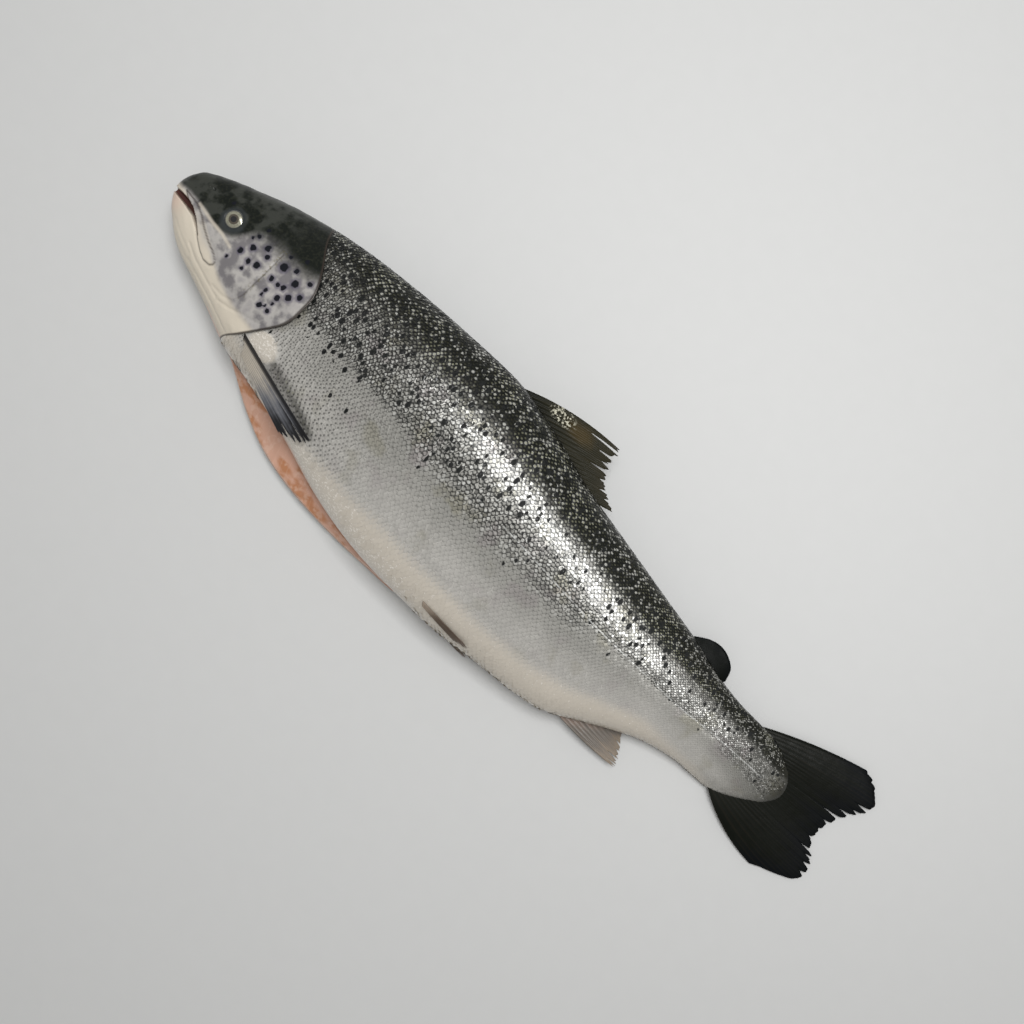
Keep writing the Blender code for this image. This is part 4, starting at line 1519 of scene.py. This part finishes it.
@dataclass
class HeadSkin:
    """The head: gill cover with its lip, cheek, jaw plate, mouth, nostrils and the rim of the eye."""

    form: BodyForm
    finish: HeadFinish
    eye: tuple[float, float]
    eye_radius: float
    step: float = 0.62
    lip_rows: Points = ((-0.9, 0.0), (-0.35, -0.12), (0.0, -0.55), (-0.2, -1.1), (-1.2, -1.7), (-3.0, -2.6))
    mouth: Points = (
        (-6, -5.2), (4, -5.4), (12, -5.2), (22, -5.8), (30, -7.9), (38.5, -12.6), (49, -20.6), (49, -21.4),
        (41, -16.9), (32, -12.6), (22.5, -11.2), (10, -9.9), (-6, -9.2),
    )  # fmt: skip
    mouth_front: float = 2.5
    jaw_plate: Points = (
        (14, -1.6), (30, -3.4), (40, -7.4), (48, -12.6), (60, -18.6), (69.5, -21.9), (74.8, -26.2),
        (74.6, -28.6), (72, -30.6), (65, -31), (58, -28), (50, -22.6), (38, -13.6), (29, -8.4), (22, -6),
    )  # fmt: skip
    creases: tuple[Crease, ...] = (
        Crease(
            ((111.6, 16), (112.2, 4), (112, -8), (110.5, -29), (106, -38), (97, -41), (84, -41)), 0.6, 1.3,
        ),
        Crease(((147, -32), (134, -36.5), (121, -39.8), (108, -44), (96, -46)), 0.7, 1.1),
        Crease(((46, -30), (58, -36), (75, -41), (92, -45.5)), 0.6, 1.2),
        Crease(((52, -40), (75, -47), (96, -53), (116, -60)), 0.5, 1.0),
        Crease(((50, -44), (75, -52), (98, -59)), 0.4, 0.9),
        Crease(((30, -33), (45, -39.5), (62, -44.5)), 0.3, 0.9),
        Crease(((22, -24), (36, -31), (50, -36)), 0.35, 1.2),
        Crease(((76, -4), (84, -14), (92, -22), (100, -30)), -0.35, 3.0),
        Crease(((0, 3), (14, 6), (30, 8.5), (46, 10)), 0.25, 1.6),
    )  # fmt: skip
    nostrils: Points = ((30.5, 14.2, 1.5), (27.0, 13.6, 1.0))
    dark_edge: Line = Line((
        (0, -2), (20, -1), (40, -3), (58, -6), (68, -5), (75, 0), (80, 6), (88, 11), (103, 13), (120, 13.5),
        (135, 15), (148, 19), (156, 22),
    ))  # fmt: skip
    pale_edge: Line = Line((
        (0, -3), (30, -8), (48, -14), (62, -22), (80, -32), (100, -39), (116, -42), (150, -46),
    ))  # fmt: skip
    spots: Points = (
        (119.7, 9.2, 3.5), (136.0, 6.1, 3.1), (140.0, -5.4, 2.7), (131.2, -2.3, 2.3), (126.3, -3.8, 2.0),
        (119.1, -3.8, 2.3), (133.5, -11.5, 2.3), (122.2, -13.1, 1.6), (122.0, -17.7, 1.6),
        (134.2, -17.7, 1.3),
        (126.5, -24.7, 2.3), (130.7, -22.3, 1.3), (134.7, -23.8, 2.0), (146.5, 0.8, 2.3), (144.6, 13.8, 2.0),
        (129.3, 13.8, 2.0), (129.5, 24.7, 2.0), (117.7, 18.5, 1.6), (99.2, 10.8, 2.7), (104.3, 5.4, 2.3),
        (87.5, 12.4, 2.0), (90.3, 3.1, 2.7), (84.3, 8.5, 1.1), (102.7, -4.6, 2.7), (95.2, -7.0, 2.3),
        (84.4, -5.4, 2.3), (94.9, -14.7, 1.6), (78.9, -16.3, 1.3), (88.6, 21.0, 1.6), (51.2, 17.3, 1.6),
    )  # fmt: skip
    blush_seam: Points = ((88, -58.5), (110, -66), (128, -71.5), (142, -75))
    eye_stripe: Points = ((31, -2.2), (50, -5.5), (64, -6.6), (76, -9.5))
    mirror_seed: int = 3

    def stations(self) -> tuple[np.ndarray, np.ndarray]:
        """Spaces the rings: close at the snout and turned in at the gill cover's lip.

        Returns:
            Their stations, and how much further out each lies.
        """
        turn = np.linspace(0, math.pi / 2, 20)
        snout = self.form.snout_rounding * (1 - np.cos(turn))
        rest = np.arange(snout[-1] + self.step, self.form.gill_station - 1.2, self.step)
        lip = np.array(self.lip_rows)
        stations = np.concatenate([snout, rest, self.form.gill_station + lip[:, 0]])
        relief = np.concatenate([np.zeros(len(snout) + len(rest)), lip[:, 1]])
        return stations, relief

    def relief(self, x: np.ndarray, y: np.ndarray) -> np.ndarray:
        """How far the skin stands out from the plain form.

        Args:
            x: Places along the head.
            y: Places across it.

        Returns:
            Heights in millimetres.
        """
        plate = depth_inside(x, y, self.jaw_plate)
        out = 1.3 * ramp(-0.8, 1.2, plate) - 0.5 * np.exp(-(((plate + 1.4) / 0.8) ** 2))
        for crease in self.creases:
            out = out + crease.relief(x, y)
        for nx, ny, radius in self.nostrils:
            out = out - 1.4 * (1 - ramp(radius * 0.5, radius * 1.3, np.hypot(x - nx, y - ny)))
        away = np.hypot(x - self.eye[0], y - self.eye[1])
        radius = self.eye_radius
        out = out - 2.6 * (1 - ramp(radius - 1.6, radius - 0.2, away))
        out = out - 0.7 * np.exp(-(((away - radius - 0.4) / 0.7) ** 2))
        return out + 0.45 * np.exp(-(((away - radius - 2.6) / 1.4) ** 2))

    def colours(self, points: np.ndarray, in_mouth: np.ndarray, rear: np.ndarray) -> list[np.ndarray]:
        """What the finish needs to know of each point.

        Args:
            points: The head's points.
            in_mouth: How far inside the mouth each lies, from 0 to 1.
            rear: How far behind the gill cover's edge each ring's station lies.

        Returns:
            Dark top, pale jaw, spots and mouth; then gold speckles, blush, a dark brown line (the jaw plate's
            outline, a line along the groove and painted shade on the gill cover's turned-in edge) and eye
            socket.
        """
        x, y, z = points[..., 0], points[..., 1], points[..., 2]
        left = z > self.form.mid_plane.at(x)
        top = ramp(-1, 1, (y - self.dark_edge.at(x)) / (5 + 14 * ramp(56, 98, x)))
        pale = 1 - ramp(-6, 9, y - self.pale_edge.at(x))
        pale = np.maximum(pale, 0.55 * np.exp(-((path_distance(x, y, self.eye_stripe) / 2.3) ** 2)))
        dice = np.random.default_rng(self.mirror_seed)
        wobble_x, wobble_y = Ripple(5.0, 0.35, 5).at(x, y), Ripple(5.0, 0.35, 6).at(x, y)
        nearest = np.full(x.shape, -1.0)
        for sx, sy, radius in self.spots:
            dx, dy = dice.uniform(-5, 5, 2)
            at_x, at_y = sx + np.where(left, 0, dx), sy + np.where(left, 0, dy)
            away = np.hypot(x - at_x + wobble_x, y - at_y + wobble_y)
            nearest = np.maximum(nearest, 1 - away / radius)
        gold = np.exp(-((path_distance(x, y, self.creases[0].path) / 2.2) ** 2)) * ramp(-38, -30, y)
        blush = 0.6 * np.exp(-(((x - 8) / 12) ** 2) - ((y + 14) / 9) ** 2) * (y < -6)
        seam = path_distance(x, y, self.blush_seam)
        blush = np.maximum(blush, np.exp(-((seam / 1.8) ** 2)))
        plate = np.abs(depth_inside(x, y, self.jaw_plate))
        lip = np.exp(-((plate / 0.6) ** 2)) * (1 - ramp(66, 80, x) * 0.4)
        # painted shade: the gill cover's turned-in rear edge takes the lip's dark brown
        lip = np.maximum(lip, ramp(-2.8, -1.2, rear) * np.ones_like(x))
        pale = pale * (1 - 0.35 * ramp(0, 1.5, depth_inside(x, y, self.jaw_plate)) * (1 - ramp(54, 70, x)))
        groove = path_distance(x, y, self.creases[0].path)
        # a darker line along the groove in front of the gill cover
        lip = np.maximum(lip, 0.6 * np.exp(-((groove / 0.6) ** 2)) * ramp(-40, -26, y))
        away = np.hypot(x - self.eye[0], y - self.eye[1])
        away = np.where(y < self.eye[1], away - 1.5, away)
        ring = 1 - ramp(self.eye_radius + 0.5, self.eye_radius + 5.0, away)
        zones = np.stack([top, pale, 0.5 + nearest * 0.5, in_mouth], -1)
        return [zones, np.stack([gold, np.clip(blush, 0, 1), lip, ring], -1)]

    def build(self) -> bpy.types.Object:
        """Makes the head.

        Returns:
            The object, in its finish.
        """
        stations, lip = self.stations()
        points = self.form.rings(stations, lip, head=True)
        x, y = points[..., 0].copy(), points[..., 1].copy()
        normal = np.cross(np.gradient(points, axis=1), np.gradient(points, axis=0))
        normal /= np.maximum(np.linalg.norm(normal, axis=2, keepdims=True), 1e-9)
        gill = self.form.gill_station
        fade = (ramp(0.5, 6, stations) * (1 - ramp(gill - 3, gill, stations)))[:, None]
        out = self.relief(x, y) * fade + Ripple(14, 0.12, 21).at(x, y, points[..., 2]) * fade
        mid = self.form.mid_plane.at(x)
        flat_side = ramp(1.5, 5, np.abs(points[..., 2] - mid))
        outward = np.sign(np.sum(normal * (points - np.stack([x, self.form.crest.at(x), mid], 2)), 2))
        points = points + normal * (outward * out * flat_side)[..., None]
        inside = ramp(-0.35, 0.75, depth_inside(x, y, self.mouth))
        side = np.sign(points[..., 2] - mid)
        points[..., 2] = points[..., 2] * (1 - inside) + (mid + side * 0.8) * inside
        points[..., 0] += inside * np.clip(self.mouth_front - x, 0, None)
        points[..., 2] = np.maximum(points[..., 2], 0)
        rear = stations[:, None] - self.form.gill_station
        rear[np.argmax(stations) + 1 :] = 0
        zones, tints = self.colours(np.stack([x, y, points[..., 2]], 2), inside, rear)
        share = self.form.round_share(points)
        along = np.repeat((stations / self.form.gill_station)[:, None], share.shape[1], 1)
        surface = Surface(
            "head_skin", points,
            uv=np.stack([along, share / 1.4], -1),
            carried={"zones": zones, "tints": tints},
        )  # fmt: skip
        return surface.build(self.finish.material())


@dataclass
class Eye:
    """One eyeball, a shallow dome that fills its socket."""

    side: Side
    form: BodyForm
    centre: tuple[float, float]
    radius: float
    material: bpy.types.Material
    height: float = 1.5
    sunk: float = 4.6
    rings: int = 28
    turns: int = 64

    def build(self) -> bpy.types.Object:
        """Makes the eyeball.

        Returns:
            The object, in its finish.
        """
        x, y = self.centre
        mid = float(self.form.mid_plane.at(np.array(x)))
        left = mid + float(self.form.half_thickness.at(np.array(x)))
        skin = left if self.side is Side.LEFT else float(self.form.lowest.at(np.array(x)))
        polar = np.linspace(0, math.pi, self.rings)[:, None]
        turn = np.linspace(0, 2 * math.pi, self.turns, endpoint=False)[None]
        reach = self.radius * 1.08 * np.sin(polar) ** 0.9
        up = np.where(np.cos(polar) > 0, self.height + 0.9, self.sunk) * np.cos(polar)
        places = np.stack([
            x + reach * np.cos(turn),
            y + reach * np.sin(turn),
            np.broadcast_to(skin + self.side.value * (up - 0.9), (self.rings, self.turns)),
        ], -1)  # fmt: skip
        return Surface(f"eyeball_{self.side.name.lower()}", places).build(self.material)


@dataclass
class BellyFlesh:
    """The pink wall of the belly, which lies on the lower flap and runs into the cut."""

    form: BodyForm
    finish: FleshFinish
    first: float = 104.0
    last: float = 346.0
    thickness: float = 3.0
    step: float = 1.5
    columns: int = 30

    def build(self) -> bpy.types.Object:
        """Makes the flesh.

        Returns:
            The object, in its finish.
        """
        x = np.arange(self.first, self.last, self.step)
        share = self.form.opening(x)
        corners = np.array(self.form.cut_path(x, share))[:4]
        room = np.minimum(self.thickness, 0.45 * (self.form.ceiling - self.form.bed[1]) * share)
        across = np.linspace(0, 1, self.columns)
        place = np.interp(across, [0, 0.3, 0.65, 1], [0.35, 1, 2, 3])
        rows = [[np.interp(place, range(4), corners[:, axis, i]) for i in range(len(x))] for axis in (0, 1)]
        low = np.stack(rows, -1)
        ends = ramp(self.first, self.first + 14, x) * (1 - ramp(self.last - 14, self.last, x))
        crown = np.sqrt(np.clip(1 - (2 * np.clip(across, 0, 1) - 1) ** 8, 0, 1))
        ridge = Ripple(9, 0.22, 31).at(*np.meshgrid(x, across * 20, indexing="ij"))
        height = np.maximum((room[:, None] + ridge) * crown[None] * ends[:, None], 0.02)
        along = np.repeat(x[:, None], self.columns, 1)
        top = np.stack([along, low[..., 0], low[..., 1] + height + 0.05], -1)
        bottom = np.stack([along, low[..., 0], low[..., 1] - 0.3], -1)
        points = np.concatenate([top, bottom[:, ::-1]], 1)
        rim = np.concatenate([across, across[::-1]])
        zones = np.zeros((*points.shape[:2], 4))
        zones[..., 0] = rim[None]
        # nearness to the upper flap's edge, for the painted shade and blood under it
        zones[..., 1] = ramp(-1.4, -0.3, points[..., 1] - self.form.belly.at(points[..., 0]))
        return Surface("flesh_wall", points, carried={"zones": zones}).build(self.finish.material())


@dataclass
class Fin:
    """A fin: rays fan out from the root line to the edge line, with torn webs between them.

    The edge's points are (share of the way, x, y, z). Bow bends the first and the last ray sideways, and a
    split is (place along the edge, depth).
    """

    name: str
    root: Points
    edge: Points
    rays: int
    finish: FinFinish
    bow: tuple[float, float] = (0.0, 0.0)
    thickness: float = 2.0
    splits: Points = ()
    fray: float = 0.05
    arch: float = 0.0
    ribbed: float = 0.4
    wave: float = 0.5
    columns_per_ray: int = 8
    rows: int = 40
    seed: int = 7

    def reach(self, t: np.ndarray) -> np.ndarray:
        """How much of each ray is left, with frayed ends and torn webs.

        Args:
            t: Places along the edge.

        Returns:
            Shares of the full length.
        """
        dice = np.random.default_rng(self.seed + self.rays)
        ends = np.linspace(0, 1, 2 * self.rays + 1)
        left = 1 - self.fray * np.interp(t, ends, dice.random(len(ends)))
        left = left - self.fray * 0.6 * (1 - np.abs(np.cos(math.pi * self.rays * t)))
        for place, depth in self.splits:
            torn = np.clip(1 - np.abs(t - place) * self.rays / 0.4, 0, 1)
            left = left * (1 - depth * torn)
        return left

    def fan(self) -> tuple[np.ndarray, np.ndarray, np.ndarray]:
        """The middle of the fin.

        Returns:
            Points in columns from root to edge, the share along the edge, and the share along the ray.
        """
        t = np.linspace(0, 1, self.rays * self.columns_per_ray + 1)
        r = np.linspace(0, 1, self.rows)
        root, edge = np.array(self.root, float), np.array(self.edge, float)
        start = np.stack([np.interp(t, np.linspace(0, 1, len(root)), root[:, k]) for k in range(3)], 1)
        tip = np.stack([Line(tuple(map(tuple, edge[:, (0, k + 1)]))).at(t) for k in range(3)], 1)
        whole = tip - start
        across = np.cross((0.0, 0.0, 1.0), whole)
        across /= np.linalg.norm(across, axis=1, keepdims=True)
        bow = self.bow[0] * (1 - t) ** 3 + self.bow[1] * t**3
        length = r[None] * self.reach(t)[:, None]
        points = start[:, None] + whole[:, None] * length[..., None]
        sideways = across * bow[:, None] + np.array((0.0, 0.0, self.arch))
        points = points + sideways[:, None] * (4 * length * (1 - length))[..., None]
        points[..., 2] += self.wave * np.sin(2.2 * math.pi * t + 0.6)[:, None] * r[None] ** 2
        return points, t[:, None] * np.ones_like(length), np.ones_like(t)[:, None] * r[None]

    def build(self) -> bpy.types.Object:
        """Makes the fin.

        Returns:
            The object, in its finish.
        """
        middle, t, r = self.fan()
        normal = np.cross(np.gradient(middle, axis=0), np.gradient(middle, axis=1))
        normal /= np.maximum(np.linalg.norm(normal, axis=2, keepdims=True), 1e-9)
        ridge = 0.5 + 0.5 * np.cos(2 * math.pi * self.rays * t)
        branched = 0.5 + 0.5 * np.cos(4 * math.pi * self.rays * t)
        ridge = ridge * (1 - ramp(0.45, 0.7, r)) + branched * ramp(0.45, 0.7, r)
        half = self.thickness / 2 * (1 - self.ribbed * (1 - ridge)) * (1 - 0.72 * r)
        rim = ramp(0, 0.02, t) * ramp(0, 0.02, 1 - t) * (1 - ramp(0.94, 1, r)) + 0.06
        upper = middle + normal * (half * rim)[..., None]
        lower = middle - normal * (half * rim)[..., None]
        points = np.concatenate([upper, lower[:, ::-1]], 1)
        points[..., 2] = np.maximum(points[..., 2], 0.05)
        dice = np.random.default_rng(self.seed)
        own = np.interp(t, np.linspace(0, 1, 2 * self.rays + 1), dice.random(2 * self.rays + 1))
        fan = np.stack([r, ridge, own, t], -1)
        carried = {"fan": np.concatenate([fan, fan[:, ::-1]], 1)}
        return Surface(self.name, points, carried=carried).build(self.finish.material())


def fins() -> list[Fin]:
    """Lists the fins.

    Returns:
        The eight fins, with their own colours.
    """
    dark = FinFinish(
        "tail_web",
        root=(0.012, 0.013, 0.010), middle=(0.006, 0.007, 0.005), tip=(0.004, 0.005, 0.006),
        ray=(0.020, 0.016, 0.010), ray_strength=0.3, shine=0.05,
    )
    dorsal = FinFinish(
        "dorsal_web",
        root=(0.007, 0.008, 0.006), middle=(0.020, 0.019, 0.011), tip=(0.026, 0.023, 0.013),
        ray=(0.034, 0.029, 0.015), ray_strength=0.4, shine=0.05, fades=(0.05, 0.5, 0.6, 1.0),
        amber=(372, 83, 20, 1.0),
    )
    slate = FinFinish(
        "adipose_skin",
        root=(0.004, 0.005, 0.005), middle=(0.004, 0.005, 0.004), tip=(0.004, 0.005, 0.005),
        ray=(0.004, 0.005, 0.005), ray_strength=0.1, shine=0.02,
    )
    anal = FinFinish(
        "anal_web",
        root=(0.42, 0.30, 0.24), middle=(0.16, 0.14, 0.12), tip=(0.26, 0.21, 0.16), ray=(0.10, 0.09, 0.08),
    )
    pelvic = FinFinish(
        "pelvic_web",
        root=(0.30, 0.25, 0.20), middle=(0.085, 0.062, 0.046), tip=(0.13, 0.10, 0.08), ray=(0.24, 0.19, 0.15),
        ray_strength=0.5, shine=0.1, fades=(0.0, 0.4, 0.7, 1.0),
    )
    pectoral = FinFinish(
        "pectoral_web",
        root=(0.42, 0.38, 0.32), middle=(0.13, 0.135, 0.15), tip=(0.008, 0.008, 0.009),
        ray=(0.05, 0.052, 0.06), ray_strength=0.5, shine=0.2, fades=(0.2, 0.7, 0.6, 0.95), leading_edge_and_shade=0.95,
    )  # fmt: skip
    return [
        Fin(
            "dorsal_fin", ((304, 72.5, 38.5), (360, 60, 38), (404, 48, 37)),
            ((0, 403.5, 96.4, 37), (0.2, 407, 88, 36.5), (0.45, 409.5, 76.5, 36), (0.7, 418, 66.5, 36),
             (1, 434.5, 57, 35)),
            18, dorsal, (5.5, 0), 2.0,
            ((0.08, 0.3), (0.22, 0.22), (0.34, 0.12), (0.45, 0.3), (0.6, 0.12), (0.75, 0.16), (0.87, 0.1)),
        ),
        Fin(
            "adipose_fin", ((550, 29, 21), (594, 16, 17)),
            ((0, 556, 35, 20.5), (0.2, 566, 41, 19.5), (0.42, 577, 43.6, 18.5), (0.62, 587, 41.5, 18),
             (0.82, 596, 35.5, 17), (1, 600, 25.5, 16)),
            9, slate, thickness=3.6, fray=0.0, ribbed=0.0, wave=0.0,
        ),
        Fin(
            "anal_fin", ((508, -90, 19), (571, -57, 13)),
            ((0, 588, -90, 9), (0.3, 586, -84, 8.5), (0.6, 580, -75, 8), (1, 571, -67, 8)),
            12, anal, (-2.5, 0), splits=((0.12, 0.12), (0.3, 0.2), (0.48, 0.1), (0.65, 0.25), (0.85, 0.12)),
        ),
        Fin(
            "pelvic_fin_left", ((377, -98.5, 60.5), (379, -101.5, 57)),
            ((0, 424, -99.5, 53.5), (0.5, 430, -101.5, 50.5), (1, 417, -105, 47.5)),
            7, pelvic, thickness=1.4, arch=1.8, splits=((0.5, 0.2), (0.78, 0.1)),
        ),
        Fin(
            "pelvic_fin_right", ((369, -99, 14), (369, -103, 5)),
            ((0, 437, -112.5, 13), (0.5, 434, -114.5, 8.5), (1, 420, -115, 4)),
            7, pelvic, splits=((0.5, 0.25),),
        ),
        Fin(
            "pectoral_fin_left", ((132, -49, 62), (139, -63, 54)),
            ((0, 231, -71.5, 71), (0.3, 229, -75.5, 69), (0.65, 219, -81.5, 66), (1, 205, -85, 62)),
            10, pectoral, arch=4.0, thickness=2.2,
            splits=((0.2, 0.08), (0.35, 0.18), (0.52, 0.08), (0.7, 0.16)),
        ),
        Fin(
            "pectoral_fin_right", ((134, -50, 12), (138, -62, 12)),
            ((0, 207, -78, 1.4), (0.3, 206, -84, 1.3), (0.65, 200, -89, 1.2), (1, 189, -91, 1.2)),
            10, pectoral, thickness=2.2, splits=((0.4, 0.12),), wave=0.0,
        ),
        Fin(
            "tail_fin", ((641, 16, 9), (646, -12, 9), (652, -46, 9)),
            ((0, 741, 57.5, 3.4), (0.05, 752, 53.5, 3.4), (0.1, 761, 47.5, 3.4), (0.15, 766.5, 38, 3.3),
             (0.3, 757.5, 20, 3), (0.46, 749.5, 2, 2.8), (0.55, 748, -10, 2.8), (0.68, 754, -22.5, 2.8),
             (0.8, 763, -31.5, 2.8), (0.88, 765.5, -43, 2.8), (0.94, 757, -53.5, 2.8), (1, 726, -67.5, 2.8)),
            30, dark, (3.2, -5), 2.4,
            ((0.18, 0.08), (0.24, 0.05), (0.3, 0.1), (0.37, 0.17), (0.45, 0.05), (0.6, 0.04), (0.7, 0.1),
             (0.76, 0.06), (0.82, 0.05), (0.87, 0.05)), 0.02, ribbed=0.06,
        ),
    ]  # fmt: skip


@dataclass
class Studio:
    """A pale floor, plain soft light and the camera, which looks straight down."""

    camera_place: tuple[float, float, float] = (-0.00555, 0.0115, 0.844)
    camera_turn: float = 45.0
    field_of_view: float = 54.0
    floor_colour: Colour = (0.60, 0.605, 0.60)
    floor_size: float = 6.0
    floor_noise: float = 60.0
    sky_colour: Colour = (1.0, 0.985, 0.965)
    sky: float = 0.36

    def floor(self) -> None:
        """A wide floor with a faint grain."""
        bpy.ops.mesh.primitive_plane_add(size=self.floor_size, location=(0, 0, 0))
        floor = bpy.context.object
        floor.name = "floor"
        finish = Finish()
        material, graph, shader = finish.start("pale_floor")
        grain = graph.noise(finish.place(graph), self.floor_noise, 3)
        low = tuple(c * 0.97 for c in self.floor_colour)
        finish.dress(graph, shader, Base_Color=graph.mix(grain, low, self.floor_colour), Roughness=0.6)
        floor.data.materials.append(material)

    def lamp(self, name: str, place: tuple, size: tuple, power: float, turn: float = 0.0) -> bpy.types.Object:
        """Adds a soft rectangular light that faces straight down.

        Args:
            name: The light's name.
            place: Where it hangs, in metres.
            size: Its two sides, in metres.
            power: Its power, in watts.
            turn: How far it is turned about the vertical, in degrees.

        Returns:
            The light.
        """
        data = bpy.data.lights.new(name, "AREA")
        data.shape = "RECTANGLE"
        data.size, data.size_y = size
        data.energy = power
        lamp = bpy.data.objects.new(name, data)
        bpy.context.scene.collection.objects.link(lamp)
        lamp.location = place
        lamp.rotation_euler = (0.0, 0.0, math.radians(turn))
        return lamp

    def build(self) -> None:
        """Makes the floor, the lights and the camera."""
        self.floor()
        world = bpy.data.worlds.new("soft_sky")
        world.use_nodes = True
        background = world.node_tree.nodes["Background"]
        background.inputs["Color"].default_value = (*self.sky_colour, 1)
        background.inputs["Strength"].default_value = self.sky
        bpy.context.scene.world = world
        self.lamp("overhead", (-0.1, 0.4, 1.6), (0.7, 0.7), 22.0).visible_glossy = False
        self.lamp("window_near", (-0.04, 0.47, 1.05), (0.62, 0.26), 6.8).visible_diffuse = False
        self.lamp("window_far", (0.50, 0.3, 1.05), (0.6, 0.2), 7.2, -30.0).visible_diffuse = False
        camera = bpy.data.objects.new("camera", bpy.data.cameras.new("camera"))
        bpy.context.scene.collection.objects.link(camera)
        camera.location = self.camera_place
        camera.rotation_euler = (0, 0, math.radians(self.camera_turn))
        camera.data.angle = math.radians(self.field_of_view)
        bpy.context.scene.camera = camera
        bpy.context.scene.view_settings.view_transform = "Standard"


def place_piece(piece: bpy.types.Object, slot: str, *nodes: str) -> None:
    """Parents a piece to the root, hides the nodes that it replaces and logs what it stands for.

    Args:
        piece: The finished piece.
        slot: The name of a material slot; not used.
        nodes: The nodes that it replaces.
    """
    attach(piece, "root")
    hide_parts(*nodes)
    LOG.info("%s: %d faces, stands for %s", piece.name, len(piece.data.polygons), ", ".join(nodes))


def main() -> None:
    """Builds the fish piece by piece, then the studio."""
    logging.basicConfig(level=logging.INFO, format="%(name)s: %(message)s")
    form = BodyForm()
    zones = FlankZones()
    eye_centre, eye_radius = (62.2, 8.0), 7.2
    place_piece(BodySkin(form, zones, SkinFinish()).build(), "silver_skin", "salmon")
    head_form = BodyForm(quarter_steps=72)
    place_piece(HeadSkin(head_form, HeadFinish(), eye_centre, eye_radius).build(), "silver_skin", "salmon")
    scales = ScaleFinish().material()
    for side in Side:
        place_piece(ScaleCoat(side, form, zones, scales).build(), "silver_skin", "salmon")
    for fin in fins():
        place_piece(fin.build(), "silver_skin", "salmon")
    place_piece(BellyFlesh(form, FleshFinish()).build(), "salmon_flesh", "belly_flesh")
    eye_finish = EyeFinish(eye_centre, eye_radius).material()
    for side, node in ((Side.LEFT, "eye_left"), (Side.RIGHT, "eye_right")):
        place_piece(Eye(side, form, eye_centre, eye_radius, eye_finish).build(), "eye", node)
    Studio().build()


if __name__ == "__main__":
    main()
